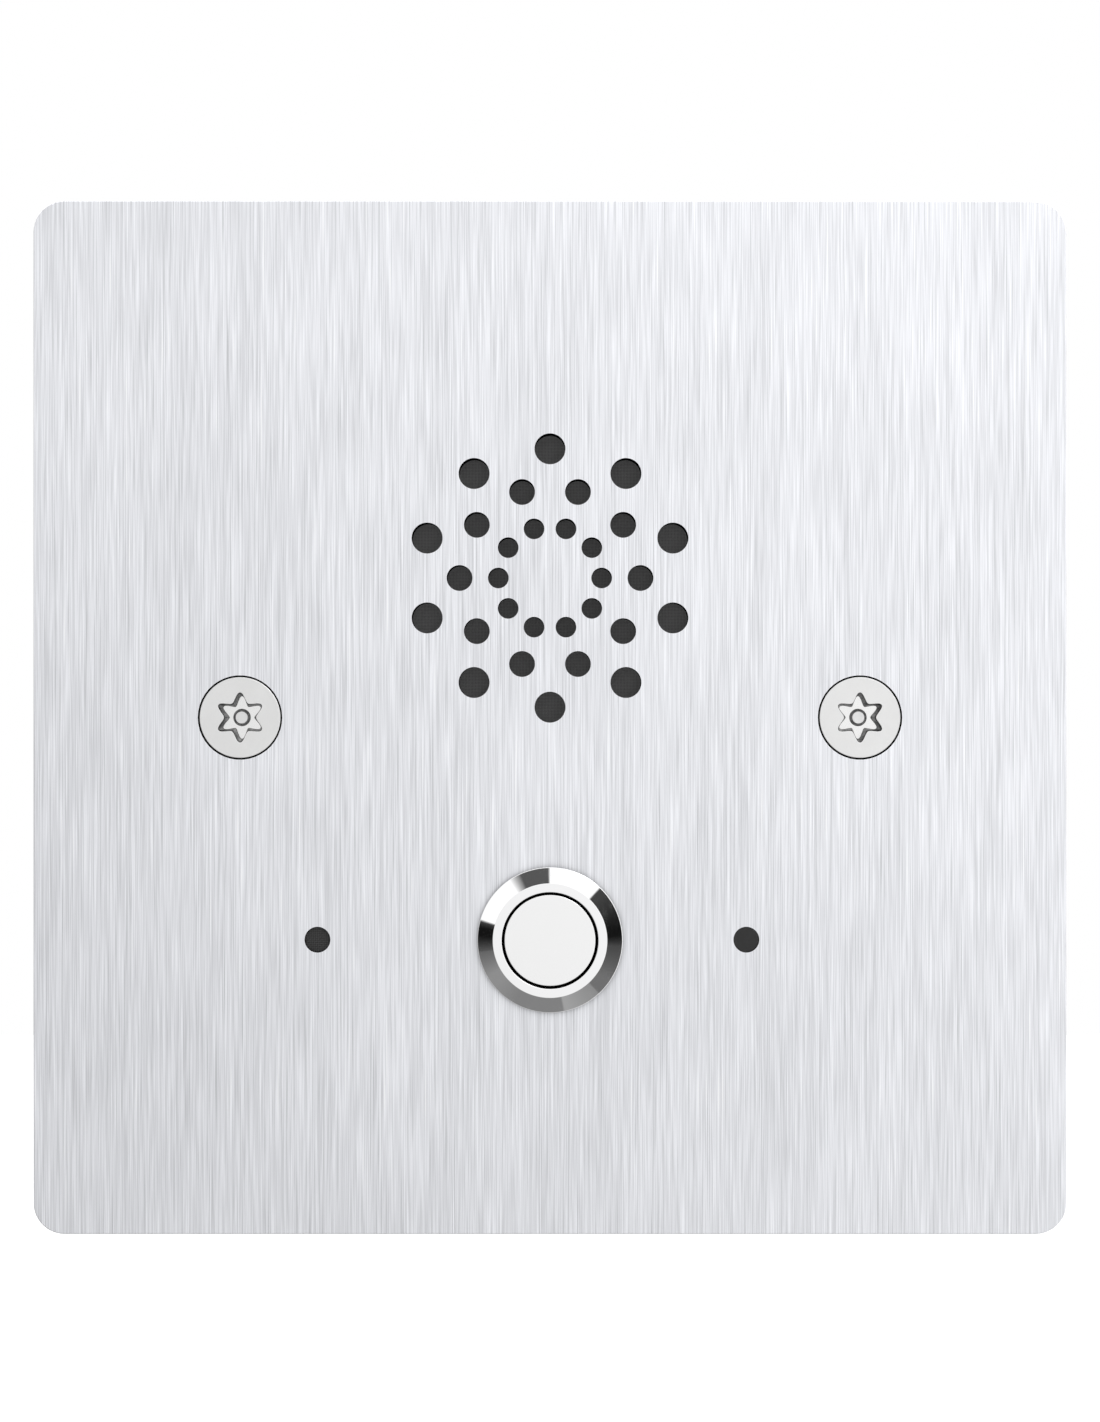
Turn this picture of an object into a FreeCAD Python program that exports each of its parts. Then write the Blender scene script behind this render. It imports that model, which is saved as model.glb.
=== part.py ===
"""Emergency intercom: a square stainless plate with a speaker, a push-button, a microphone and an
indicator behind it, and a circuit board on four pillars that joins them to the building's wiring.

The frame, in millimetres: +Z is up, +X is to the right as seen from the front, +Y goes into the wall.
The plate stands upright and looks along -Y. The origin lies on the wall, behind the plate's centre.
"""
import FreeCAD, Part
import math
import os

# General clearances between pieces
sliding_gap = 0.05
thread_gap = 0.05
stop_gap = 0.02
loose_gap = 0.3

# Front plate
plate_width = 100.0
plate_height = 100.0
plate_thickness = 2.0
plate_corner_radius = 3.0

# Foam gasket between the plate and the wall, open over the wall box
gasket_thickness = 1.0
gasket_inset = 1.0
box_opening = 70.0
box_corner_radius = 6.0

# Countersunk security screws that hold the plate to the wall box
fixing_spacing = 60.0
screw_thread_diameter = 4.0
screw_head_diameter = 7.86
screw_length = 20.0
countersink_diameter = 8.17
countersink_gap = 0.06
screw_hole_diameter = 4.3
star_points = 6
star_tip_radius = 2.44
star_valley_radius = 1.4
star_depth = 1.45
star_taper = 0.94
pin_diameter = 1.5
pin_height = 1.35

# Speaker holes: three rings of ten
speaker_z = 13.5
ring_holes = 10
outer_ring_diameter = 25.0
middle_ring_diameter = 17.5
inner_ring_diameter = 10.0
outer_hole_diameter = 3.0
middle_hole_diameter = 2.5
inner_hole_diameter = 2.0

# Speaker frame: square rim, four legs, square floor that carries the magnet
rim_size = 33.0
rim_width = 2.5
rim_thickness = 1.2
rim_corner_radius = 2.0
basket_depth = 5.3
floor_margin = 2.35
floor_thickness = 0.8
leg_width = 4.0
leg_thickness = 1.8
leg_offset = 3.2

# Dust cloth and foam gasket between the plate and the speaker
cloth_inset = 1.0
cloth_thickness = 0.2
foam_thickness = 1.0

# Speaker diaphragm: one film with its middle pressed forward
film_thickness = 0.3
film_lip = 1.0
cap_rise = 0.5

# Voice coil and magnet: the magnet stands inside the coil, in a steel cup
top_plate_diameter = 9.5
top_plate_thickness = 1.2
top_plate_drop = 1.2
magnet_diameter = 9.2
magnet_height = 3.0
coil_gap = 0.3
coil_wall = 0.5
coil_length = 3.8
cup_wall = 0.8
cup_floor = 1.2

# Speaker's tag board with its two solder lugs
tag_width = 6.0
tag_reach = 10.0
tag_overlap = 1.8
tag_thickness = 0.8
lug_spacing = 3.2
lug_width = 1.4
lug_length = 3.0
lug_thickness = 0.3

# Bent steel tabs, welded to the plate, that hook over the speaker's rim
tab_width = 5.0
tab_thickness = 0.8
tab_foot = 2.0
tab_hook = 1.1
tab_gap = 0.15

# Push-button
button_z = -21.5
bezel_diameter = 14.05
bezel_rim_height = 0.4
bezel_height = 0.92
bezel_flat_diameter = 11.0
bezel_bore_diameter = 9.32
barrel_diameter = 12.0
barrel_hole_clearance = 0.1
actuator_diameter = 8.88
actuator_drop = 0.17
actuator_head_thickness = 2.2
button_travel = 1.5
stem_diameter = 4.0
spigot_diameter = 3.2
spring_length = 4.0
spring_diameter = 7.6
spring_wire = 0.5
shoulder_thickness = 2.0
rear_socket_diameter = 10.0
rear_socket_depth = 7.0
button_nut_across_flats = 14.0
button_nut_height = 2.8

# Contacts inside the push-button
stem_nut_across_flats = 5.5
stem_nut_height = 1.8
bridge_holder_size = 4.4
bridge_holder_thickness = 1.2
bridge_length = 7.6
bridge_width = 2.4
bridge_thickness = 0.3
contact_pad_thickness = 0.4
contact_pad_length = 1.7
contact_block_flange = 1.6
terminal_spacing = 4.0
terminal_width = 2.0
terminal_thickness = 0.5
terminal_reach = 5.5

# Microphone and indicator, either side of the button
microphone_x = -22.5
indicator_x = 19.0
small_hole_diameter = 2.5
nose_diameter = 2.4
nose_drop = 0.22
screen_flange_thickness = 0.4
capsule_diameter = 6.0
capsule_height = 2.7
boot_wall = 0.9
pipe_diameter = 3.0
led_width = 3.2
led_depth = 2.8
led_height = 1.3

# Circuit board and its pillars
board_size = 64.0
board_thickness = 1.6
board_corner_radius = 3.0
board_notch_depth = 7.0
board_notch_width = 14.0
pillar_offset = 28.0
pillar_across_flats = 5.5
pillar_length = 14.0
pillar_bore_depth = 5.0
board_screw_diameter = 3.0
board_screw_length = 6.0
board_screw_head_diameter = 5.4
board_screw_head_height = 1.8
board_screw_slot = 0.7
board_hole_clearance = 0.1
fastener_sides = 12
button_window_diameter = 14.4

# Network jack, lying on the board with its port towards +X
jack_left = -31.5
jack_z = 16.0
jack_length = 21.0
jack_width = 16.0
jack_height = 13.4
jack_sheet = 0.25
port_width = 11.8
port_height = 6.9
port_depth = 13.5
port_above_board = 2.6
latch_width = 6.2
latch_step = 1.6
catch_width = 3.4
catch_step = 1.4
contact_count = 8
contact_pitch = 1.02
contact_wire = 0.4
contact_rise = 2.4
contact_run = 8.0

# Screw terminals along the top edge, with their wire entries towards the middle of the board
terminal_ways = 4
terminal_pitch = 3.5
terminal_block_x = 11.0
terminal_block_margin = 0.5
terminal_block_depth = 7.6
terminal_block_height = 8.6
terminal_block_edge = 0.2
terminal_block_slope = 1.8
wire_entry = 2.7
wire_entry_depth = 4.5
wire_entry_height = 1.4
clamp_screw_diameter = 2.6
clamp_screw_length = 2.4
clamp_screw_drop = 0.5
clamp_screw_slot = 0.5

# Electronic parts on the back of the board
transformer_x = -17.0
transformer_z = -2.0
transformer_length = 12.7
transformer_width = 9.6
transformer_height = 5.8
processor_x = -1.5
processor_z = 1.5
processor_size = 10.0
processor_height = 1.4
chip_bevel = 0.25
amplifier_x = 10.5
amplifier_z = 12.5
amplifier_length = 6.5
amplifier_width = 4.4
amplifier_height = 1.1
inductor_x = 9.2
inductor_z = -4.0
inductor_size = 7.0
inductor_height = 4.0
inductor_corner = 1.6
capacitor_x = 19.5
capacitor_z = 1.8
capacitor_spacing = 9.4
capacitor_diameter = 8.0
capacitor_height = 11.5
relay_x = 16.5
relay_z = -27.2
relay_length = 15.0
relay_width = 7.4
relay_height = 10.0

# Plug-in connectors for the internal leads
speaker_connector_x = 26.6
button_connector_z = -10.6
microphone_connector_z = -11.2
connector_length = 6.4
connector_width = 4.6
connector_height = 3.4
connector_plug_inset = 0.6
connector_plug_height = 2.4

# Internal leads: flat two-core strips
lead_thickness = 1.1
lead_width = 4.6
mic_lead_width = 2.6
lead_loop_height = 7.4
lead_arc_share = 0.45
lead_slot_gap = 0.5

# Depths along Y that follow from the sizes above
plate_back = -gasket_thickness
plate_front = plate_back - plate_thickness
foam_front = plate_back + cloth_thickness
film_front = foam_front + foam_thickness
rim_front = film_front + film_thickness
rim_back = rim_front + rim_thickness
basket_back = rim_front + basket_depth
coil_back = rim_front + coil_length
top_plate_front = rim_front + top_plate_drop
top_plate_back = top_plate_front + top_plate_thickness
magnet_back = top_plate_back + magnet_height
speaker_back = magnet_back + cup_floor
board_front = plate_back + pillar_length
board_back = board_front + board_thickness
tag_back = basket_back + tag_thickness
lug_back = tag_back + lug_thickness

bezel_front = plate_front - bezel_height
actuator_front = bezel_front + actuator_drop
head_back = actuator_front + actuator_head_thickness
shoulder_front = head_back + spring_length
shoulder_back = shoulder_front + shoulder_thickness
barrel_back = shoulder_back + rear_socket_depth
stem_nut_front = shoulder_back + stop_gap
stem_nut_back = stem_nut_front + stem_nut_height
bridge_front = stem_nut_back + bridge_holder_thickness
bridge_back = bridge_front + bridge_thickness
pad_front = bridge_back + button_travel + stop_gap
pad_back = pad_front + contact_pad_thickness
block_back = barrel_back + contact_block_flange
terminal_back = block_back + terminal_reach

screen_back = plate_back + screen_flange_thickness
capsule_back = screen_back + capsule_height
connector_top = board_back + connector_height + connector_plug_height
lead_top = connector_top + lead_loop_height

# Radii of the speaker that follow from the sizes above
coil_inner = top_plate_diameter / 2 + coil_gap
coil_outer = coil_inner + coil_wall
cup_inner = coil_outer + coil_gap
cup_outer = cup_inner + cup_wall
rim_bore = rim_size - 2 * rim_width
film_diameter = rim_bore + 2 * film_lip
cloth_size = rim_size - 2 * cloth_inset
floor_size = 2 * (cup_outer + floor_margin)
leg_rim_radius = rim_bore / 2 + leg_offset

# x where the speaker's lead leaves its lugs
tag_end = floor_size / 2 + tag_reach
lug_x = tag_end - lug_length / 2

nodes = {}


def turned(profile, x=0.0, z=0.0):
    """Solid of revolution about the line along Y through (x, z); profile lists (radius, y) corners."""
    points = [FreeCAD.Vector(radius, y, 0) for radius, y in profile]
    outline = Part.makePolygon(points + points[:1])
    solid = Part.Face(outline).revolve(FreeCAD.Vector(0, 0, 0), FreeCAD.Vector(0, 1, 0), 360)
    solid.translate(FreeCAD.Vector(x, 0, z))
    return solid


def rod(diameter, y_front, y_back, x=0.0, z=0.0):
    """Round bar along Y."""
    return Part.makeCylinder(diameter / 2, y_back - y_front, FreeCAD.Vector(x, y_front, z), FreeCAD.Vector(0, 1, 0))


def ring(outer, inner, y_front, y_back, x=0.0, z=0.0):
    """Flat ring or tube along Y, from its two diameters."""
    return rod(outer, y_front, y_back, x, z).cut(rod(inner, y_front, y_back, x, z))


def block(x_low, x_high, y_low, y_high, z_low, z_high):
    """Square-edged block between two opposite corners."""
    corner = FreeCAD.Vector(x_low, y_low, z_low)
    return Part.makeBox(x_high - x_low, y_high - y_low, z_high - z_low, corner)


def outline(corners, radii, y):
    """Closed outline at depth y through (x, z) corners, each one rounded by its radius; zero is sharp."""
    points = [FreeCAD.Vector(x, y, z) for x, z in corners]
    count = len(points)
    arcs = []
    starts = []
    ends = []
    for i in range(count):
        to_last = (points[i - 1] - points[i]).normalize()
        to_next = (points[(i + 1) % count] - points[i]).normalize()
        half_angle = to_last.getAngle(to_next) / 2
        reach = radii[i] / math.tan(half_angle)
        starts.append(points[i] + to_last * reach)
        ends.append(points[i] + to_next * reach)
        inward = (to_last + to_next).normalize()
        crown = points[i] + inward * (radii[i] / math.sin(half_angle) - radii[i])
        arcs.append(Part.Arc(starts[i], crown, ends[i]).toShape() if radii[i] else None)
    sides = []
    for i in range(count):
        if arcs[i]:
            sides.append(arcs[i])
        sides.append(Part.makeLine(ends[i], starts[(i + 1) % count]))
    return Part.Wire(sides)


def slab(corners, radii, y_front, y_back):
    """Plate of constant thickness with the outline's shape."""
    return Part.Face(outline(corners, radii, y_front)).extrude(FreeCAD.Vector(0, y_back - y_front, 0))


def rectangle(width, height, x=0.0, z=0.0):
    """Corners of a rectangle about (x, z)."""
    right = width / 2
    top = height / 2
    return [(x - right, z - top), (x + right, z - top), (x + right, z + top), (x - right, z + top)]


def rectangular_slab(width, height, radius, y_front, y_back, x=0.0, z=0.0):
    """Rectangular plate whose corners have one radius."""
    return slab(rectangle(width, height, x, z), [radius] * 4, y_front, y_back)


def polar(radius, degrees, x=0.0, z=0.0):
    """Point at a radius and an angle about (x, z), counted from +X towards +Z."""
    angle = math.radians(degrees)
    return x + radius * math.cos(angle), z + radius * math.sin(angle)


def many_sided(sides, across_flats, y_front, y_back, x=0.0, z=0.0):
    """Bar along Y with flat sides, such as a nut."""
    reach = across_flats / 2 / math.cos(math.pi / sides)
    corners = [polar(reach, 360 / sides * (i + 0.5), x, z) for i in range(sides)]
    return slab(corners, [0] * sides, y_front, y_back)


def side_profile(corners, width, along_x, middle):
    """Profile of (across, y) corners, extruded over a width along X or along Z about the middle."""
    start = middle - width / 2
    if along_x:
        points = [FreeCAD.Vector(start, y, across) for across, y in corners]
        way = FreeCAD.Vector(width, 0, 0)
    else:
        points = [FreeCAD.Vector(across, y, start) for across, y in corners]
        way = FreeCAD.Vector(0, 0, width)
    return Part.Face(Part.makePolygon(points + points[:1])).extrude(way)


def strip_lead(route, width, along_x, middle):
    """Flat lead whose straight runs, given as (across, y) points, are joined by tangent arcs."""
    if along_x:
        points = [FreeCAD.Vector(middle, y, across) for across, y in route]
    else:
        points = [FreeCAD.Vector(across, y, middle) for across, y in route]
    edges = []
    radii = []
    start = points[0]
    for before, corner, after in zip(points, points[1:], points[2:]):
        back = before - corner
        ahead = after - corner
        reach = lead_arc_share * min(back.Length, ahead.Length)
        half_turn = (math.pi - back.getAngle(ahead)) / 2
        radius = reach / math.tan(half_turn)
        back.normalize()
        ahead.normalize()
        inward = (back + ahead).normalize()
        crown = corner + inward * (radius / math.cos(half_turn) - radius)
        edges.append(Part.makeLine(start, corner + back * reach))
        edges.append(Part.Arc(corner + back * reach, crown, corner + ahead * reach).toShape())
        start = corner + ahead * reach
        radii.append(radius)
    edges.append(Part.makeLine(start, points[-1]))
    path = Part.Wire(edges)
    half_width = FreeCAD.Vector(width / 2, 0, 0) if along_x else FreeCAD.Vector(0, 0, width / 2)
    half_depth = FreeCAD.Vector(0, 0, lead_thickness / 2) if along_x else FreeCAD.Vector(lead_thickness / 2, 0, 0)
    corners = [
        points[0] - half_width - half_depth,
        points[0] + half_width - half_depth,
        points[0] + half_width + half_depth,
        points[0] - half_width + half_depth,
    ]
    section = Part.makePolygon(corners + corners[:1])
    strip = path.makePipeShell([section], True, False)
    ratio = strip.Volume / (width * lead_thickness * path.Length)
    print("lead", round(path.Length, 1), "long, radii", [round(r, 2) for r in radii], "volume ratio", round(ratio, 4))
    return strip


def together(solids):
    """Separate solids of one kind, kept apart in one group."""
    return Part.makeCompound(solids)


def speaker_hole_places():
    """(diameter, x, z) of each hole in front of the speaker; the outer ring has a hole at the top."""
    places = []
    for i in range(ring_holes):
        step = 360 / ring_holes * i
        places.append((outer_hole_diameter, *polar(outer_ring_diameter / 2, 90 + step, 0, speaker_z)))
        places.append((middle_hole_diameter, *polar(middle_ring_diameter / 2, step, 0, speaker_z)))
        places.append((inner_hole_diameter, *polar(inner_ring_diameter / 2, step, 0, speaker_z)))
    return places


def fixing_places():
    """x of the two fixing screws, level with the plate's centre."""
    return [-fixing_spacing / 2, fixing_spacing / 2]


def pillar_places():
    """(x, z) of the board's four pillars."""
    return [(x, z) for x in (-pillar_offset, pillar_offset) for z in (-pillar_offset, pillar_offset)]


def countersink(x):
    """Space that a fixing screw's head and shank take in the plate."""
    slope_depth = (countersink_diameter - screw_hole_diameter) / 2
    profile = [
        (0, plate_front - 1),
        (countersink_diameter / 2, plate_front - 1),
        (countersink_diameter / 2, plate_front),
        (screw_hole_diameter / 2, plate_front + slope_depth),
        (screw_hole_diameter / 2, plate_back + 1),
        (0, plate_back + 1),
    ]
    return turned(profile, x)


def front_plate():
    """Square sheet with the speaker's holes, two countersinks, the button's hole and two small ones."""
    plate = rectangular_slab(plate_width, plate_height, plate_corner_radius, plate_front, plate_back)
    holes = [rod(size, plate_front, plate_back, x, z) for size, x, z in speaker_hole_places()]
    holes += [countersink(x) for x in fixing_places()]
    barrel_hole = barrel_diameter + 2 * barrel_hole_clearance
    holes.append(rod(barrel_hole, plate_front, plate_back, 0, button_z))
    for x in (microphone_x, indicator_x):
        holes.append(rod(small_hole_diameter, plate_front, plate_back, x, button_z))
    return plate.cut(holes)


def wall_gasket():
    """Foam sheet a little smaller than the plate, cut out over the wall box."""
    width = plate_width - 2 * gasket_inset
    height = plate_height - 2 * gasket_inset
    radius = plate_corner_radius - gasket_inset
    sheet = rectangular_slab(width, height, radius, plate_back, 0)
    return sheet.cut(rectangular_slab(box_opening, box_opening, box_corner_radius, plate_back, 0))


def star_recess(x):
    """Tapered six-point recess of a fixing screw, one point upwards."""
    sections = []
    for share, y in ((1.0, plate_front), (star_taper, plate_front + star_depth)):
        corners = []
        for i in range(star_points):
            angle = 90 + 360 / star_points * i
            corners.append(polar(star_tip_radius * share, angle, x))
            corners.append(polar(star_valley_radius * share, angle + 180 / star_points, x))
        sections.append(outline(corners, [0] * len(corners), y))
    return Part.makeLoft(sections, True, True)


def fixing_screw(x):
    """Countersunk security screw: star recess with a centre pin, head cone parallel to its seat, shank."""
    head = screw_head_diameter / 2
    thread = screw_thread_diameter / 2
    slope_gap = countersink_gap * math.sqrt(2)
    edge_height = (countersink_diameter - screw_head_diameter) / 2 - slope_gap
    cone_back = plate_front + edge_height + head - thread
    tip = plate_front + screw_length
    profile = [
        (0, plate_front),
        (head, plate_front),
        (head, plate_front + edge_height),
        (thread, cone_back),
        (thread, tip),
        (0, tip),
    ]
    recess_floor = plate_front + star_depth
    pin = rod(pin_diameter, recess_floor - pin_height, recess_floor, x)
    return turned(profile, x).cut(star_recess(x)).fuse(pin)


def make_plate_group():
    """The plate and what fastens it to the wall."""
    nodes["front_plate"] = front_plate()
    nodes["wall_gasket"] = wall_gasket()
    nodes["fixing_screws"] = together([fixing_screw(x) for x in fixing_places()])


def speaker_leg(degrees):
    """Slanting leg from the rim down to a corner of the floor."""
    floor_radius = floor_size / math.sqrt(2) - leg_width / 2
    corners = [
        (leg_rim_radius - leg_thickness, rim_back),
        (leg_rim_radius, rim_back),
        (floor_radius + leg_thickness / 2, basket_back - floor_thickness),
        (floor_radius + leg_thickness / 2, basket_back),
        (floor_radius - leg_thickness / 2, basket_back),
        (floor_radius - leg_thickness / 2, basket_back - floor_thickness),
    ]
    leg = side_profile(corners, leg_width, False, 0)
    leg.rotate(FreeCAD.Vector(0, 0, 0), FreeCAD.Vector(0, 1, 0), degrees)
    leg.translate(FreeCAD.Vector(0, 0, speaker_z))
    return leg


def speaker_basket():
    """Moulded frame: square rim, four open legs, square floor with a hole for the magnet's cup."""
    rim = rectangular_slab(rim_size, rim_size, rim_corner_radius, rim_front, rim_back, 0, speaker_z)
    floor = rectangular_slab(floor_size, floor_size, 0, basket_back - floor_thickness, basket_back, 0, speaker_z)
    legs = [speaker_leg(45 + 90 * i) for i in range(4)]
    basket = rim.fuse([floor] + legs)
    opening = rod(rim_bore, rim_front, rim_back, 0, speaker_z)
    cup_hole = rod(2 * cup_outer, basket_back - floor_thickness, basket_back, 0, speaker_z)
    return basket.cut([opening, cup_hole]).removeSplitter()


def diaphragm():
    """Pressed film: flat from the rim to the voice coil, its middle a step further forward."""
    edge = film_diameter / 2
    cap_inner = coil_inner - film_thickness
    profile = [
        (0, film_front - cap_rise),
        (coil_inner, film_front - cap_rise),
        (coil_inner, film_front),
        (edge, film_front),
        (edge, rim_front),
        (cap_inner, rim_front),
        (cap_inner, rim_front - cap_rise),
        (0, rim_front - cap_rise),
    ]
    return turned(profile, 0, speaker_z)


def speaker_foam():
    """Square foam gasket with a round opening, between the cloth and the edge of the film."""
    sheet = rectangular_slab(cloth_size, cloth_size, 0, foam_front, film_front, 0, speaker_z)
    return sheet.cut(rod(rim_bore, foam_front, film_front, 0, speaker_z))


def magnet_cup():
    """Steel cup round the magnet and the coil, pressed into the frame's floor."""
    profile = [
        (0, magnet_back),
        (cup_inner, magnet_back),
        (cup_inner, top_plate_front),
        (cup_outer, top_plate_front),
        (cup_outer, speaker_back),
        (0, speaker_back),
    ]
    return turned(profile, 0, speaker_z)


def speaker_tag():
    """Tag board behind the frame's floor, reaching out to the side."""
    low = speaker_z - tag_width / 2
    return block(floor_size / 2 - tag_overlap, tag_end, basket_back, tag_back, low, low + tag_width)


def speaker_lug(side):
    """Tinned solder lug at the end of the tag board."""
    low = speaker_z + side * lug_spacing / 2 - lug_width / 2
    return block(tag_end - lug_length, tag_end, tag_back, lug_back, low, low + lug_width)


def speaker_tab(degrees):
    """Z-shaped tab: foot on the plate, upright beside the rim, hook over the rim's back."""
    inner = rim_size / 2 + tab_gap
    outer = inner + tab_thickness
    corners = [
        (inner, plate_back),
        (outer + tab_foot, plate_back),
        (outer + tab_foot, plate_back + tab_thickness),
        (outer, plate_back + tab_thickness),
        (outer, rim_back + tab_thickness),
        (inner - tab_hook, rim_back + tab_thickness),
        (inner - tab_hook, rim_back),
        (inner, rim_back),
    ]
    tab = side_profile(corners, tab_width, False, 0)
    tab.rotate(FreeCAD.Vector(0, 0, 0), FreeCAD.Vector(0, 1, 0), degrees)
    tab.translate(FreeCAD.Vector(0, 0, speaker_z))
    return tab


def make_speaker():
    """The speaker, the dust cloth and foam in front of it and the tabs that hold it."""
    nodes["speaker_cloth"] = rectangular_slab(cloth_size, cloth_size, 0, plate_back, foam_front, 0, speaker_z)
    nodes["speaker_foam"] = speaker_foam()
    nodes["speaker_tabs"] = together([speaker_tab(90 * i) for i in range(4)])
    nodes["speaker_basket"] = speaker_basket()
    nodes["speaker_diaphragm"] = diaphragm()
    nodes["voice_coil"] = ring(2 * coil_outer, 2 * coil_inner, rim_front, coil_back, 0, speaker_z)
    nodes["top_plate"] = rod(top_plate_diameter, top_plate_front, top_plate_back, 0, speaker_z)
    nodes["speaker_magnet"] = rod(magnet_diameter, top_plate_back, magnet_back, 0, speaker_z)
    nodes["magnet_cup"] = magnet_cup()
    nodes["speaker_tag"] = speaker_tag()
    nodes["speaker_lugs"] = together([speaker_lug(-1), speaker_lug(1)])


def button_bezel():
    """Bevelled head and threaded barrel in one piece, bored for the actuator, its spring and contacts."""
    stem_bore = stem_diameter / 2 + sliding_gap
    profile = [
        (bezel_bore_diameter / 2, bezel_front),
        (bezel_flat_diameter / 2, bezel_front),
        (bezel_diameter / 2, plate_front - bezel_rim_height),
        (bezel_diameter / 2, plate_front),
        (barrel_diameter / 2, plate_front),
        (barrel_diameter / 2, barrel_back),
        (rear_socket_diameter / 2, barrel_back),
        (rear_socket_diameter / 2, shoulder_back),
        (stem_bore, shoulder_back),
        (stem_bore, shoulder_front),
        (bezel_bore_diameter / 2, shoulder_front),
    ]
    return turned(profile, 0, button_z)


def actuator():
    """Flat-faced head on its stem, which ends in a thinner threaded spigot."""
    head = actuator_diameter / 2
    stem = stem_diameter / 2
    spigot = spigot_diameter / 2
    profile = [
        (0, actuator_front),
        (head, actuator_front),
        (head, head_back),
        (stem, head_back),
        (stem, stem_nut_front),
        (spigot, stem_nut_front),
        (spigot, bridge_front),
        (0, bridge_front),
    ]
    return turned(profile, 0, button_z)


def stem_nut():
    """Small nut on the spigot: it stops the actuator from coming out at the front."""
    nut = many_sided(6, stem_nut_across_flats, stem_nut_front, stem_nut_back, 0, button_z)
    return nut.cut(rod(spigot_diameter, stem_nut_front, stem_nut_back, 0, button_z))


def bridge_holder():
    """Moulded square collar on the end of the spigot."""
    size = bridge_holder_size
    collar = rectangular_slab(size, size, 0, stem_nut_back, bridge_front, 0, button_z)
    return collar.cut(rod(spigot_diameter, stem_nut_back, bridge_front, 0, button_z))


def terminal_places():
    """x of the button's two fixed contacts."""
    return [-terminal_spacing / 2, terminal_spacing / 2]


def fixed_contact(x):
    """Contact pad and solder terminal in one strip, bent once."""
    side = math.copysign(1, x)
    inner = x - side * terminal_thickness / 2
    shin = x + side * terminal_thickness / 2
    toe = inner + side * contact_pad_length
    corners = [
        (inner, pad_front),
        (toe, pad_front),
        (toe, pad_back),
        (shin, pad_back),
        (shin, terminal_back),
        (inner, terminal_back),
    ]
    return side_profile(corners, terminal_width, False, button_z)


def contact_block():
    """Moulded plug in the back of the barrel, slotted for the two fixed contacts."""
    plug = rear_socket_diameter / 2 - sliding_gap
    profile = [
        (0, pad_back),
        (plug, pad_back),
        (plug, barrel_back),
        (barrel_diameter / 2, barrel_back),
        (barrel_diameter / 2, block_back),
        (0, block_back),
    ]
    slots = [
        rectangular_slab(terminal_thickness, terminal_width, 0, pad_back, block_back, x, button_z)
        for x in terminal_places()
    ]
    return turned(profile, 0, button_z).cut(slots)


def button_nut():
    """Hexagon nut that pulls the bezel against the plate."""
    back = plate_back + button_nut_height
    nut = many_sided(6, button_nut_across_flats, plate_back, back, 0, button_z)
    return nut.cut(rod(barrel_diameter + 2 * thread_gap, plate_back, back, 0, button_z))


def make_button():
    """The push-button: fixed body and nut, moving actuator, spring and contacts."""
    spring_bore = spring_diameter - 2 * spring_wire
    nodes["button_bezel"] = button_bezel()
    nodes["button_nut"] = button_nut()
    nodes["button_actuator"] = actuator()
    nodes["return_spring"] = ring(spring_diameter, spring_bore, head_back, shoulder_front, 0, button_z)
    nodes["stem_nut"] = stem_nut()
    nodes["bridge_holder"] = bridge_holder()
    nodes["contact_bridge"] = rectangular_slab(
        bridge_length, bridge_width, 0, bridge_front, bridge_back, 0, button_z
    )
    nodes["fixed_contacts"] = together([fixed_contact(x) for x in terminal_places()])
    nodes["contact_block"] = contact_block()


def mic_screen():
    """Fine mesh plug: its nose fills the plate's hole, its flange lies behind the plate."""
    profile = [
        (0, plate_front + nose_drop),
        (nose_diameter / 2, plate_front + nose_drop),
        (nose_diameter / 2, plate_back),
        (capsule_diameter / 2, plate_back),
        (capsule_diameter / 2, screen_back),
        (0, screen_back),
    ]
    return turned(profile, microphone_x, button_z)


def light_pipe():
    """Clear rod from the plate's hole to the lamp on the board, with a thinner nose."""
    pipe_back = board_front - led_height - loose_gap
    profile = [
        (0, plate_front + nose_drop),
        (nose_diameter / 2, plate_front + nose_drop),
        (nose_diameter / 2, plate_back),
        (pipe_diameter / 2, plate_back),
        (pipe_diameter / 2, pipe_back),
        (0, pipe_back),
    ]
    return turned(profile, indicator_x, button_z)


def make_microphone_and_indicator():
    """What stands behind the two small holes."""
    boot_diameter = capsule_diameter + 2 * boot_wall
    nodes["mic_screen"] = mic_screen()
    nodes["mic_capsule"] = rod(capsule_diameter, screen_back, capsule_back, microphone_x, button_z)
    nodes["mic_boot"] = ring(boot_diameter, capsule_diameter, plate_back, capsule_back, microphone_x, button_z)
    nodes["light_pipe"] = light_pipe()
    nodes["indicator_led"] = rectangular_slab(
        led_width, led_depth, 0, board_front - led_height, board_front, indicator_x, button_z
    )


def board_pillar(place):
    """Hexagon pillar welded to the plate, tapped for the board's screw."""
    pillar = many_sided(6, pillar_across_flats, plate_back, board_front, *place)
    bore = board_screw_diameter + 2 * thread_gap
    return pillar.cut(many_sided(fastener_sides, bore, board_front - pillar_bore_depth, board_front, *place))


def board_screw(place):
    """Flat-headed screw with a cross recess."""
    tip = board_back - board_screw_length
    top = board_back + board_screw_head_height
    shank = many_sided(fastener_sides, board_screw_diameter, tip, board_back, *place)
    head = many_sided(fastener_sides, board_screw_head_diameter, board_back, top, *place)
    reach = board_screw_head_diameter * 0.6
    floor = top - board_screw_head_height / 2
    slots = [
        rectangular_slab(reach, board_screw_slot, 0, floor, top, *place),
        rectangular_slab(board_screw_slot, reach, 0, floor, top, *place),
    ]
    return shank.fuse(head).cut(slots)


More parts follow.
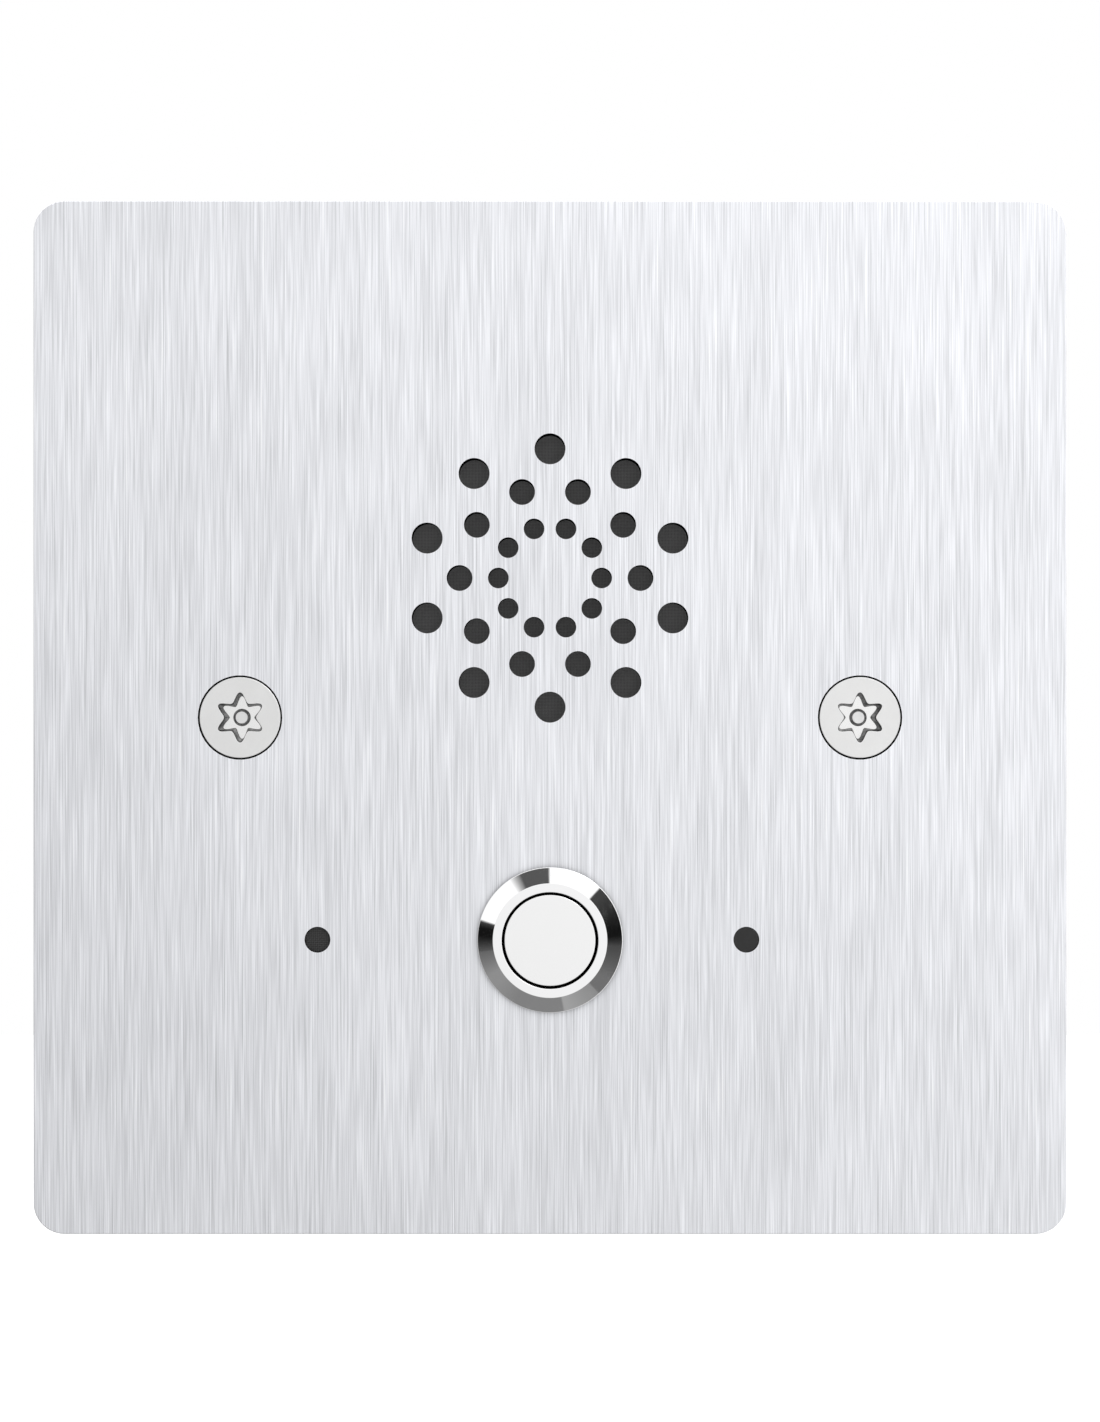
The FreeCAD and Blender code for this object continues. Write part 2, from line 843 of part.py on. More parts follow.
def circuit_board():
    """Square board, notched at both sides for the wall box's screw lugs, open behind the button."""
    edge = board_size / 2
    inner = edge - board_notch_depth
    notch = board_notch_width / 2
    right_side = [(edge, -edge), (edge, -notch), (inner, -notch), (inner, notch), (edge, notch), (edge, edge)]
    left_side = [(-x, -z) for x, z in right_side]
    side_radii = [board_corner_radius, 0, 0, 0, 0, board_corner_radius]
    board = slab(right_side + left_side, side_radii * 2, board_front, board_back)
    screw_hole = board_screw_diameter + 2 * board_hole_clearance
    slot_depth = lead_thickness + 4 * lead_slot_gap
    speaker_slot = lead_width + 2 * lead_slot_gap
    mic_slot = mic_lead_width + 2 * lead_slot_gap
    holes = [many_sided(fastener_sides, screw_hole, board_front, board_back, *place) for place in pillar_places()]
    holes.append(rod(button_window_diameter, board_front, board_back, 0, button_z))
    holes.append(rectangular_slab(slot_depth, speaker_slot, 0, board_front, board_back, lug_x, speaker_z))
    holes.append(rectangular_slab(mic_slot, slot_depth, 0, board_front, board_back, microphone_x, button_z))
    return board.cut(holes)


def jack_shield():
    """Folded sheet round the network jack: top, two sides and back, open at the port and below."""
    right = jack_left + jack_length
    low = jack_z - jack_width / 2
    high = jack_z + jack_width / 2
    top = board_back + jack_height
    outside = block(jack_left, right, board_back, top, low, high)
    inside = block(jack_left + jack_sheet, right, board_back, top - jack_sheet, low + jack_sheet, high - jack_sheet)
    return outside.cut(inside)


def port_space():
    """Hollow of the port: the plug's width, then two steps for its latch, towards the board."""
    right = jack_left + jack_length
    deep = right - port_depth
    top = board_back + jack_height - port_above_board
    floor = top - port_height
    latch_floor = floor - latch_step
    catch_floor = latch_floor - catch_step
    main = block(deep, right, floor, top, jack_z - port_width / 2, jack_z + port_width / 2)
    latch = block(deep, right, latch_floor, floor, jack_z - latch_width / 2, jack_z + latch_width / 2)
    catch = block(deep, right, catch_floor, latch_floor, jack_z - catch_width / 2, jack_z + catch_width / 2)
    return main.fuse([latch, catch])


def jack_insert():
    """Moulded body inside the shield with the port's hollow."""
    right = jack_left + jack_length
    half_width = jack_width / 2 - jack_sheet
    top = board_back + jack_height - jack_sheet
    body = block(jack_left + jack_sheet, right, board_back, top, jack_z - half_width, jack_z + half_width)
    return body.cut(port_space()).removeSplitter()


def jack_contact(index):
    """One sprung wire of the port, slanting down from the roof towards the back."""
    z = jack_z + (index - (contact_count - 1) / 2) * contact_pitch
    right = jack_left + jack_length
    roof = board_back + jack_height - port_above_board
    start = right - port_depth + contact_run
    end = start - contact_run * 0.8
    corners = [
        (start, roof),
        (end, roof - contact_rise),
        (end, roof - contact_rise - contact_wire),
        (start + contact_wire, roof - contact_wire),
        (start + 2 * contact_wire, roof),
    ]
    return side_profile(corners, contact_wire, False, z)


def terminal_way_places():
    """x of each way of the terminal block."""
    middle = (terminal_ways - 1) / 2
    return [terminal_block_x + (i - middle) * terminal_pitch for i in range(terminal_ways)]


def terminal_screw_z():
    """z of the row of clamp screws."""
    return board_size / 2 - terminal_block_edge - terminal_block_depth / 2


def terminal_block():
    """Moulded block with a sloping shoulder, a row of wire entries and a row of screw holes."""
    length = terminal_ways * terminal_pitch + 2 * terminal_block_margin
    back_z = board_size / 2 - terminal_block_edge
    front_z = back_z - terminal_block_depth
    top = board_back + terminal_block_height
    corners = [
        (front_z, board_back),
        (back_z, board_back),
        (back_z, top - terminal_block_slope / 2),
        (back_z - terminal_block_slope / 2, top),
        (front_z + terminal_block_slope, top),
        (front_z, top - terminal_block_slope),
    ]
    body = side_profile(corners, length, True, terminal_block_x)
    entry_low = board_back + wire_entry_height
    hole = clamp_screw_diameter + 2 * thread_gap
    hole_floor = top - clamp_screw_length - clamp_screw_drop
    cuts = []
    for x in terminal_way_places():
        half = wire_entry / 2
        cuts.append(block(x - half, x + half, entry_low, entry_low + wire_entry, front_z, front_z + wire_entry_depth))
        cuts.append(many_sided(fastener_sides, hole, hole_floor, top, x, terminal_screw_z()))
    return body.cut(cuts)


def clamp_screw(x):
    """Slotted screw of one terminal."""
    top = board_back + terminal_block_height - clamp_screw_drop
    z = terminal_screw_z()
    screw = many_sided(fastener_sides, clamp_screw_diameter, top - clamp_screw_length, top, x, z)
    slot_floor = top - clamp_screw_slot
    return screw.cut(rectangular_slab(2 * clamp_screw_diameter, clamp_screw_slot, 0, slot_floor, top, x, z))


def bevelled_chip(x, z, length, width, height):
    """Moulded chip body whose upper half tapers."""
    waist = board_back + height / 2
    base = rectangular_slab(length, width, 0, board_back, waist, x, z)
    sections = [
        outline(rectangle(length, width, x, z), [0] * 4, waist),
        outline(rectangle(length - 2 * chip_bevel, width - 2 * chip_bevel, x, z), [0] * 4, board_back + height),
    ]
    return base.fuse(Part.makeLoft(sections, True, True)).removeSplitter()


def power_inductor():
    """Shielded inductor: square core with clipped corners."""
    half = inductor_size / 2
    clipped = half - inductor_corner
    quarter = [(half, -clipped), (half, clipped), (clipped, half), (-clipped, half)]
    corners = quarter + [(-x, -z) for x, z in quarter]
    places = [(inductor_x + x, inductor_z + z) for x, z in corners]
    return slab(places, [0] * len(places), board_back, board_back + inductor_height)


def lead_connector(x, z, along_x):
    """Header on the board with the plug of a lead pushed into it, long in X or in Z."""
    length = connector_length if along_x else connector_width
    width = connector_width if along_x else connector_length
    header_back = board_back + connector_height
    inset = 2 * connector_plug_inset
    header = rectangular_slab(length, width, 0, board_back, header_back, x, z)
    plug = rectangular_slab(length - inset, width - inset, 0, header_back, connector_top, x, z)
    return header.fuse(plug)


def make_board():
    """The circuit board, what carries it and what is soldered to it."""
    nodes["board_pillars"] = together([board_pillar(place) for place in pillar_places()])
    nodes["circuit_board"] = circuit_board()
    nodes["board_screws"] = together([board_screw(place) for place in pillar_places()])
    nodes["jack_shield"] = jack_shield()
    nodes["jack_insert"] = jack_insert()
    nodes["jack_contacts"] = together([jack_contact(index) for index in range(contact_count)])
    nodes["terminal_block"] = terminal_block()
    nodes["terminal_screws"] = together([clamp_screw(x) for x in terminal_way_places()])
    nodes["network_transformer"] = bevelled_chip(
        transformer_x, transformer_z, transformer_length, transformer_width, transformer_height
    )
    nodes["processor"] = bevelled_chip(processor_x, processor_z, processor_size, processor_size, processor_height)
    nodes["audio_amplifier"] = bevelled_chip(
        amplifier_x, amplifier_z, amplifier_length, amplifier_width, amplifier_height
    )
    nodes["power_inductor"] = power_inductor()
    can_top = board_back + capacitor_height
    can_places = (capacitor_z, capacitor_z - capacitor_spacing)
    cans = [rod(capacitor_diameter, board_back, can_top, capacitor_x, z) for z in can_places]
    nodes["smoothing_capacitors"] = together(cans)
    relay_back = board_back + relay_height
    nodes["door_relay"] = rectangular_slab(relay_length, relay_width, 0, board_back, relay_back, relay_x, relay_z)
    nodes["lead_connectors"] = together([
        lead_connector(speaker_connector_x, speaker_z, False),
        lead_connector(0, button_connector_z, True),
        lead_connector(microphone_x, microphone_connector_z, True),
    ])


def speaker_lead():
    """From the speaker's lugs back through the board's slot and over to its connector."""
    route = [
        (lug_x, lug_back),
        (lug_x, 15.5),
        (lug_x - 0.6, lead_top),
        (speaker_connector_x, lead_top),
        (speaker_connector_x, connector_top),
    ]
    return strip_lead(route, lead_width, False, speaker_z)


def button_lead():
    """From the push-button's terminals over to their connector."""
    route = [
        (button_z, terminal_back),
        (button_z, lead_top),
        (button_connector_z, lead_top),
        (button_connector_z, connector_top),
    ]
    return strip_lead(route, lead_width, True, 0)


def mic_lead():
    """From the back of the microphone through the board's slot and over to its connector."""
    route = [
        (button_z, capsule_back),
        (button_z, 13.2),
        (button_z - 0.5, lead_top),
        (microphone_connector_z, lead_top),
        (microphone_connector_z, connector_top),
    ]
    return strip_lead(route, mic_lead_width, True, microphone_x)


def make_leads():
    """Short leads that the board's connectors and the devices hold at both ends."""
    nodes["speaker_lead"] = speaker_lead()
    nodes["button_lead"] = button_lead()
    nodes["mic_lead"] = mic_lead()


def main():
    make_plate_group()
    make_speaker()
    make_button()
    make_microphone_and_indicator()
    make_board()
    make_leads()
    os.makedirs("parts", exist_ok=True)
    for name, shape in nodes.items():
        shape.exportStep(f"parts/{name}.step")
    print(len(nodes), "nodes")


main()
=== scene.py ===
# %% [markdown]
# # An emergency intercom in Blender
# The object is a square stainless plate with thirty speaker holes, two security screws, one push-button and
# two small holes for a microphone and an indicator. Behind it hang a small speaker, the button's switch, a
# circuit board on four pillars and the leads between them. The solids come packed from the CAD model and
# are the fixed frame here. This file gives every one of them its finish, and puts a finer surface in place
# of those whose shape the eye would miss: threads, springs, cloth, foam, wires.

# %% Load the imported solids
import math

import bmesh
import bpy
import numpy as np
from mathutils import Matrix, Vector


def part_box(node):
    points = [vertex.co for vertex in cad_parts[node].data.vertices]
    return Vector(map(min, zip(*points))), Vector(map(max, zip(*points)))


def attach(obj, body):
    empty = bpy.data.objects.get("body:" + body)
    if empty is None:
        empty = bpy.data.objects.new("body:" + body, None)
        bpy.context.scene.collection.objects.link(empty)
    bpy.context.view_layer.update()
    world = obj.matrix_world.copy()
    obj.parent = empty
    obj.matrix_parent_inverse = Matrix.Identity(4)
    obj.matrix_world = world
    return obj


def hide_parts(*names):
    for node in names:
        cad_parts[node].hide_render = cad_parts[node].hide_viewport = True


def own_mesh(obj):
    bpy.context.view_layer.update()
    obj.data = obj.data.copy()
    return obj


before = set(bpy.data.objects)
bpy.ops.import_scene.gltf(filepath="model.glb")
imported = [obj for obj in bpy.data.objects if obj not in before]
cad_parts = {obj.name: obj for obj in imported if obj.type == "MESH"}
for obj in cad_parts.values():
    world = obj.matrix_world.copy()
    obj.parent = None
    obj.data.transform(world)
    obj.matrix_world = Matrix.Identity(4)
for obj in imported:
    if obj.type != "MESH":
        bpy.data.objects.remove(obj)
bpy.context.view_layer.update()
print("CAD nodes:", len(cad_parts))

# %% [markdown]
# All sizes below are in millimetres, as on a drawing, and become metres only when a mesh is written. The
# depths and centres are read from the solids, so that each new surface sits exactly where its solid does.

# %% Measures read from the solids
def box_mm(node):
    """Lowest and highest corner of a solid, in millimetres."""
    low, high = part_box(node)
    return np.array(low) * 1000, np.array(high) * 1000


def depths(node):
    """Front and back of a solid along Y, in millimetres."""
    low, high = box_mm(node)
    return low[1], high[1]


def seen_box(node):
    """Lowest and highest corner of a solid in the front view, (x, z) in millimetres."""
    low, high = box_mm(node)
    return low[[0, 2]], high[[0, 2]]


def seen_middle(node):
    """Middle of a solid in the front view, (x, z) in millimetres."""
    low, high = seen_box(node)
    return (low + high) / 2


PLATE_FRONT, PLATE_BACK = depths("front_plate")
BOARD_FRONT, BOARD_BACK = depths("circuit_board")
BUTTON, SPEAKER = seen_middle("button_bezel"), seen_middle("speaker_basket")
MICROPHONE, INDICATOR = seen_middle("mic_screen"), seen_middle("light_pipe")
SCREW_X = 30.0
print("plate from", round(PLATE_FRONT, 2), "to", round(PLATE_BACK, 2), "button at", BUTTON)

# %% [markdown]
# ## The way every new surface is made
# A turned part, a wire and a rounded block are all grids: one parameter runs along a profile, the other
# round an axis or along a path. Each helper works out all the points of such a grid at once. Where a grid
# closes on itself, or shrinks to a point, its points coincide. One merge at the end closes those seams.

# %% Grids and profiles
def unit(vectors):
    """The same directions with length 1."""
    return vectors / np.linalg.norm(vectors, axis=-1, keepdims=True)


def rounded(corners, reach, steps=5):
    """Line with rounded corners: each gives way to an arc that starts and ends `reach` from it.

    With u and v the directions to the neighbours and w the arc's angle, the arc round its centre C is
    C + (A-C) sin((1-t)w)/sin(w) + (B-C) sin(tw)/sin(w), for t from 0 to 1."""
    corners = np.asarray(corners, float)
    at = corners[1:-1]
    u, v = corners[:-2] - at, corners[2:] - at
    shorter = np.minimum(*(np.linalg.norm(leg, axis=1, keepdims=True) for leg in (u, v)))
    u, v = unit(u), unit(v)
    cut = np.minimum(np.broadcast_to(np.asarray(reach, float).reshape(-1, 1), shorter.shape), 0.48 * shorter)
    between = np.arccos(np.clip((u * v).sum(1, keepdims=True), -0.9999, 0.9999))
    centre = at + unit(u + v) * cut / np.cos(between / 2)
    start, stop = at + u * cut - centre, at + v * cut - centre
    angle = (math.pi - between)[:, :, None]
    t = np.linspace(0, 1, steps)[None, :, None]
    share_a, share_b = np.sin((1 - t) * angle) / np.sin(angle), np.sin(t * angle) / np.sin(angle)
    arcs = centre[:, None] + share_a * start[:, None] + share_b * stop[:, None]
    return np.concatenate([corners[:1], arcs.reshape(-1, corners.shape[1]), corners[-1:]])


def held(line, gap=0.04):
    """The line with two more points on each long stretch, `gap` from its ends, so that it shades flat."""
    line = np.asarray(line, float)
    start, stop = line[:-1], line[1:]
    length = np.linalg.norm(stop - start, axis=1, keepdims=True)
    step = np.where(length > 4 * gap, gap / np.maximum(length, 1e-9), 0.0) * (stop - start)
    points = np.concatenate([np.stack([start, start + step, stop - step], 1).reshape(-1, 2), line[-1:]])
    apart = np.linalg.norm(np.diff(points, axis=0), axis=1) > 1e-9
    return points[np.concatenate([[True], apart])]


def line_of(r, y):
    """Profile points (r, y); either may be a single number."""
    return np.stack(np.broadcast_arrays(np.asarray(r, float), np.asarray(y, float)), -1)


def round_axis(centre, r, y, a):
    """Points (cx + r cos a, y, cz + r sin a) round an axis along Y."""
    return np.stack(np.broadcast_arrays(centre[0] + r * np.cos(a), y, centre[1] + r * np.sin(a)), -1)


def turned(profile, centre, segments=96, radius=None):
    """Grid that carries a profile of (r, y) once round an axis.

    `radius` may give r for each row and angle instead, as on a star or a thread."""
    profile = np.asarray(profile, float)
    a = np.linspace(0, 2 * math.pi, segments + 1)
    r = profile[:, :1] if radius is None else radius(profile, a)
    return round_axis(centre, r, profile[:, 1:2], a)


def swept(path, side, outline):
    """Grid along a path: path(s) + p side(s) + q up(s), where (p, q) runs round the outline and up is
    tangent x side. The first and last row shrink to the path's ends."""
    path, outline = np.asarray(path, float), np.asarray(outline, float)
    tangent = unit(np.gradient(path, axis=0))
    side = np.broadcast_to(np.asarray(side, float), path.shape)
    side = unit(side - (side * tangent).sum(1, keepdims=True) * tangent)
    up = np.cross(tangent, side)
    grid = path[:, None] + outline[:, :1] * side[:, None] + outline[:, 1:] * up[:, None]
    first, last = (np.broadcast_to(path[k], grid[:1].shape) for k in (0, -1))
    return np.concatenate([first, grid, last])


def strip(half, low, high, taper=1.0):
    """Outline of a flat strip from low to high; its upper edge is `taper` times as wide."""
    return [(-half, low), (half, low), (taper * half, high), (-taper * half, high), (-half, low)]


def circle(radius, steps=14):
    """Outline of a round wire: (r cos a, r sin a)."""
    a = np.linspace(0, 2 * math.pi, steps + 1)
    return radius * line_of(np.cos(a), np.sin(a))


def soft_box(low, high, radius, steps=2):
    """Box with round edges: each corner's eighth of a sphere, moved out to the corner.

    x = cx + sx (hx - r) + r cos v cos u, and so on, where sx, sy, sz are the signs of that corner."""
    low, high = np.asarray(low, float), np.asarray(high, float)
    centre, half = (low + high) / 2, (high - low) / 2 - radius
    quarter = np.linspace(0, math.pi / 2, steps)
    u = np.append((np.arange(4)[:, None] * math.pi / 2 + quarter).ravel(), 2 * math.pi)
    v = np.concatenate([quarter - math.pi / 2, quarter])[:, None]
    sign_x = np.append(np.repeat([1, -1, -1, 1], steps), 1)
    sign_y = np.repeat([-1, 1], steps)[:, None]
    sign_z = np.append(np.repeat([1, 1, -1, -1], steps), 1)
    x = centre[0] + sign_x * half[0] + radius * np.cos(v) * np.cos(u)
    y = centre[1] + (sign_y * half[1] + radius * np.sin(v))
    z = centre[2] + sign_z * half[2] + radius * np.cos(v) * np.sin(u)
    grid = np.stack(np.broadcast_arrays(x, y, z), -1)
    front, back = (np.broadcast_to([centre[0], y, centre[2]], grid[:1].shape) for y in (low[1], high[1]))
    return np.concatenate([front, grid, back])


print("a rounded right angle has", len(rounded([(0, 1), (0, 0), (1, 0)], 0.2)), "points")

# %% [markdown]
# A piece may hold several grids, each with its own finish. Its object stays at the origin, unturned, so a
# pattern in object coordinates keeps its scale and direction on every piece.

# %% Grids become a piece
def quads(rows, columns, first=0):
    """The four corners of every cell of a grid whose points are stored row by row."""
    a = first + np.arange(rows - 1)[:, None] * columns + np.arange(columns - 1)
    return np.stack([a, a + 1, a + columns + 1, a + columns], -1).reshape(-1, 4)


def placed(name, data):
    """Object at the origin for a mesh, a lamp or a camera."""
    made = bpy.data.objects.new(name, data)
    bpy.context.scene.collection.objects.link(made)
    return made


def settle(made, body, instead_of):
    """Gives a piece its body and hides the solid it stands for."""
    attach(made, body)
    if instead_of:
        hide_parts(instead_of)
    return made


def piece(name, grids, finishes, instead_of=None, body="station", crease=35.0):
    """Mesh object from grids in millimetres; `grids` holds grids or pairs (grid, index of its finish)."""
    grids = [g if isinstance(g, tuple) else (g, 0) for g in grids]
    starts = np.cumsum([0] + [grid.shape[0] * grid.shape[1] for grid, _ in grids])
    cells = [quads(*grid.shape[:2], first) for (grid, _), first in zip(grids, starts)]
    marks = np.repeat([mark for _, mark in grids], [len(c) for c in cells])
    points = np.concatenate([grid.reshape(-1, 3) for grid, _ in grids]) / 1000
    mesh = bpy.data.meshes.new(name)
    mesh.from_pydata(points, [], np.concatenate(cells))
    for finish in finishes if isinstance(finishes, list) else [finishes]:
        mesh.materials.append(finish)
    mesh.polygons.foreach_set("material_index", marks.astype(np.int32))
    close_seams(mesh)
    mesh.set_sharp_from_angle(angle=math.radians(crease))
    return settle(placed(name, mesh), body, instead_of)


def close_seams(mesh):
    """Merges points that coincide and turns every face outwards."""
    work = bmesh.new()
    work.from_mesh(mesh)
    bmesh.ops.remove_doubles(work, verts=work.verts, dist=1e-7)
    bmesh.ops.dissolve_degenerate(work, edges=work.edges, dist=1e-8)
    bmesh.ops.recalc_face_normals(work, faces=work.faces)
    for face in work.faces:
        face.smooth = True
    work.to_mesh(mesh)
    work.free()


def merged_copy(node):
    """Copy of a solid's mesh with its seams merged and its flat faces made whole."""
    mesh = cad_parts[node].data.copy()
    mesh.name = node + "_eased"
    work = bmesh.new()
    work.from_mesh(mesh)
    bmesh.ops.remove_doubles(work, verts=work.verts, dist=1e-6)
    bmesh.ops.dissolve_limit(work, angle_limit=math.radians(1), verts=work.verts, edges=work.edges)
    work.to_mesh(mesh)
    work.free()
    if "custom_normal" in mesh.attributes:
        mesh.attributes.remove(mesh.attributes["custom_normal"])
    mesh.materials.clear()
    return mesh


def eased(node, width, finish, body="station", segments=2):
    """Copy of a solid with its edges broken by `width` millimetres."""
    mesh = merged_copy(node)
    mesh.materials.append(finish)
    mesh.polygons.foreach_set("use_smooth", np.ones(len(mesh.polygons), bool))
    made = placed(node + "_eased", mesh)
    bevel = made.modifiers.new("broken edges", "BEVEL")
    bevel.width, bevel.segments = width / 1000, segments
    bevel.limit_method, bevel.angle_limit = "ANGLE", math.radians(30)
    bevel.harden_normals = True
    return settle(made, body, node)


print("a grid of 3 by 4 points has", len(quads(3, 4)), "faces")

# %% [markdown]
# Node trees grow long when every node takes five lines, so a small class adds nodes in one line each. It
# serves the world, the stage, the shared effects and the finishes alike.

# %% Short ways of adding nodes
class Nodes:
    """Adds nodes to one tree; a socket or a plain value may be given for each input."""

    def __init__(self, tree):
        self.tree = tree

    def feed(self, source, socket):
        if isinstance(source, bpy.types.NodeSocket):
            self.tree.links.new(source, socket)
        else:
            socket.default_value = source

    def add(self, kind, inputs=(), **settings):
        made = self.tree.nodes.new(kind)
        for name, value in settings.items():
            setattr(made, name, value)
        for key, value in dict(inputs).items():
            self.feed(value, made.inputs[key])
        return made

    def math(self, operation, *values, clamp=False):
        return self.add("ShaderNodeMath", enumerate(values), operation=operation, use_clamp=clamp).outputs[0]

    def times(self, first, second):
        return self.math("MULTIPLY", first, second)

    def rest(self, mask):
        """What a mask leaves: 1 - mask."""
        return self.math("SUBTRACT", 1.0, mask)

    def share(self, first, second, part):
        """`part` of the first and the rest of the second."""
        return self.math("ADD", self.times(first, part), self.times(second, 1 - part))

    def vector(self, operation, *values):
        return self.add("ShaderNodeVectorMath", enumerate(values), operation=operation).outputs[0]

    def join(self, x, y, z):
        return self.add("ShaderNodeCombineXYZ", {0: x, 1: y, 2: z}).outputs[0]

    def split(self, vector):
        return self.add("ShaderNodeSeparateXYZ", {0: vector}).outputs[:3]

    def scaled(self, vector, count):
        """The vector times one number on all three axes."""
        return self.vector("MULTIPLY", vector, self.join(count, count, count))

    def noise(self, vector, detail=2.0, rough=0.5, warp=0.0):
        values = {"Vector": vector, "Scale": 1.0, "Detail": detail, "Roughness": rough, "Distortion": warp}
        return self.add("ShaderNodeTexNoise", values).outputs[0]

    def cells(self, vector, scale=1.0, feature="F1"):
        """Distance and colour of the nearest of many scattered points."""
        values = {"Vector": vector, "Scale": scale}
        return self.add("ShaderNodeTexVoronoi", values, feature=feature).outputs[:2]

    def span(self, value, from_low, from_high, low=0.0, high=1.0, smooth=False):
        kind = "SMOOTHSTEP" if smooth else "LINEAR"
        values = {0: value, 1: from_low, 2: from_high, 3: low, 4: high}
        return self.add("ShaderNodeMapRange", values, interpolation_type=kind).outputs[0]

    def blend(self, mask, first, second):
        made = self.add("ShaderNodeMix", {0: mask}, data_type="RGBA")
        for value, socket in ((first, made.inputs[6]), (second, made.inputs[7])):
            self.feed(value if isinstance(value, bpy.types.NodeSocket) else (*value[:3], 1), socket)
        return made.outputs[2]

# %% [markdown]
# ## Shared effects
# Brushing, turning, moulding, weaving and handling leave marks that many finishes share. Each is a node
# group with named inputs, built once. A group puts out only masks and heights; the shader stays in the
# material. Vectors arrive in metres and are scaled to cycles per millimetre inside.

# %% Effect groups
def effect(name, inputs, outputs, wiring):
    """Node group; `wiring` gets the nodes and the input sockets and returns the output sockets in order."""
    group = bpy.data.node_groups.new(name, "ShaderNodeTree")
    group.interface.new_socket("Vector", in_out="INPUT", socket_type="NodeSocketVector")
    for label, value in inputs.items():
        made = group.interface.new_socket(label, in_out="INPUT", socket_type="NodeSocketFloat")
        made.default_value = value
    for label in outputs:
        group.interface.new_socket(label, in_out="OUTPUT", socket_type="NodeSocketFloat")
    nodes = Nodes(group)
    start, end = group.nodes.new("NodeGroupInput"), group.nodes.new("NodeGroupOutput")
    for label, socket in zip(outputs, wiring(nodes, start.outputs)):
        group.links.new(socket, end.inputs[label])
    return group


def wire_brush_lines(n, given):
    across, along = n.times(given["Across"], 1000), n.times(given["Along"], 1000)
    shade, ridges = -0.08, 0.0
    for finer, longer, part in ((1.0, 1.0, 0.50), (0.9, 0.3, 0.44), (0.3, 0.5, 0.15), (0.012, 0.3, 0.07)):
        wide = n.times(across, finer)
        stretch = n.join(wide, wide, n.times(along, longer))
        layer = n.noise(n.vector("MULTIPLY", given["Vector"], stretch), 1.0)
        shade = n.math("MULTIPLY_ADD", layer, part, shade)
        if finer > 0.5:
            ridges = n.math("MULTIPLY_ADD", layer, 0.5, ridges)
    return shade, ridges


def wire_lathe_marks(n, given):
    x, _, z = n.split(n.vector("MULTIPLY", given["Vector"], (1000, 1000, 1000)))
    radius = n.math("SQRT", n.math("ADD", n.times(x, x), n.times(z, z)))
    safe = n.math("MAXIMUM", radius, 0.001)
    turn = n.math("DIVIDE", x, safe), n.math("DIVIDE", z, safe)
    fine = n.noise(n.join(n.times(radius, given["Rings"]), *turn), 2.0, 0.6)
    broad = n.noise(n.join(n.times(radius, 0.8), *[n.times(t, 1.6) for t in turn]), 1.0)
    return n.share(fine, broad, 0.65), fine


def in_cells(n, given, size="Size"):
    """The place counted in cells of a given size in millimetres."""
    return n.scaled(given["Vector"], n.math("DIVIDE", 1000, given[size]))


def wire_moulded_grain(n, given):
    place = in_cells(n, given)
    cloud = n.noise(place, 3.0, 0.65)
    return n.share(n.cells(place, feature="SMOOTH_F1")[0], cloud, 0.5), cloud


def wire_handling(n, given):
    place = in_cells(n, given)
    cloud = n.span(n.noise(place, 3.0, 0.55, 0.6), 0.35, 0.68, smooth=True)
    rub = n.noise(n.vector("MULTIPLY", place, (9.0, 9.0, 1.4)), 2.0, 0.6)
    return cloud, n.math("MULTIPLY", cloud, n.span(rub, 0.5, 0.66), clamp=True)


def wire_weave(n, given):
    x, _, z = n.split(n.scaled(given["Vector"], n.times(given["Threads"], 1000 * math.pi)))
    wave_x, wave_z = n.math("SINE", x), n.math("SINE", z)
    warp, weft = n.math("ABSOLUTE", wave_x), n.math("ABSOLUTE", wave_z)
    over = n.span(n.times(wave_x, wave_z), -0.25, 0.25, smooth=True)
    lift = n.math("ADD", n.times(warp, over), n.times(weft, n.rest(over)))
    gap = n.math("SUBTRACT", 1.0, n.math("MAXIMUM", warp, weft), clamp=True)
    return lift, n.span(gap, 0.05, 0.55, smooth=True)


def wire_cells(n, given):
    place = in_cells(n, given)
    pores = n.share(n.cells(place)[0], n.cells(place, 2.7)[0], 0.65)
    return pores, n.span(pores, 0.15, 0.55, smooth=True)


def wire_specks(n, given):
    place = in_cells(n, given, "Spacing")
    here = n.span(n.noise(n.vector("MULTIPLY", place, (0.12, 0.12, 0.12))), 0.45, 0.7, smooth=True)
    return n.times(n.span(n.cells(place)[0], 0.13, 0.05, smooth=True), here),


BRUSH_LINES = effect("brush lines", {"Across": 8.0, "Along": 0.16}, ["Shade", "Height"], wire_brush_lines)
LATHE_MARKS = effect("lathe marks", {"Rings": 9.0}, ["Shade", "Height"], wire_lathe_marks)
MOULDED_GRAIN = effect("moulded grain", {"Size": 0.12}, ["Height", "Shade"], wire_moulded_grain)
HANDLING = effect("handling marks", {"Size": 9.0}, ["Cloud", "Rub"], wire_handling)
WEAVE = effect("weave", {"Threads": 4.0}, ["Height", "Gap"], wire_weave)
CELLS = effect("foam cells", {"Size": 0.3}, ["Height", "Shade"], wire_cells)
SPECKS = effect("dust specks", {"Spacing": 0.5}, ["Mask"], wire_specks)
print("shared effects:", len(bpy.data.node_groups))

# %% [markdown]
# A finish starts from a Principled shader with its constants set on the shader's own sockets. What varies
# over the surface is then stacked on it: shade multiplies the colour, tint mixes in a second colour, gloss
# varies the roughness, relief adds a bump.

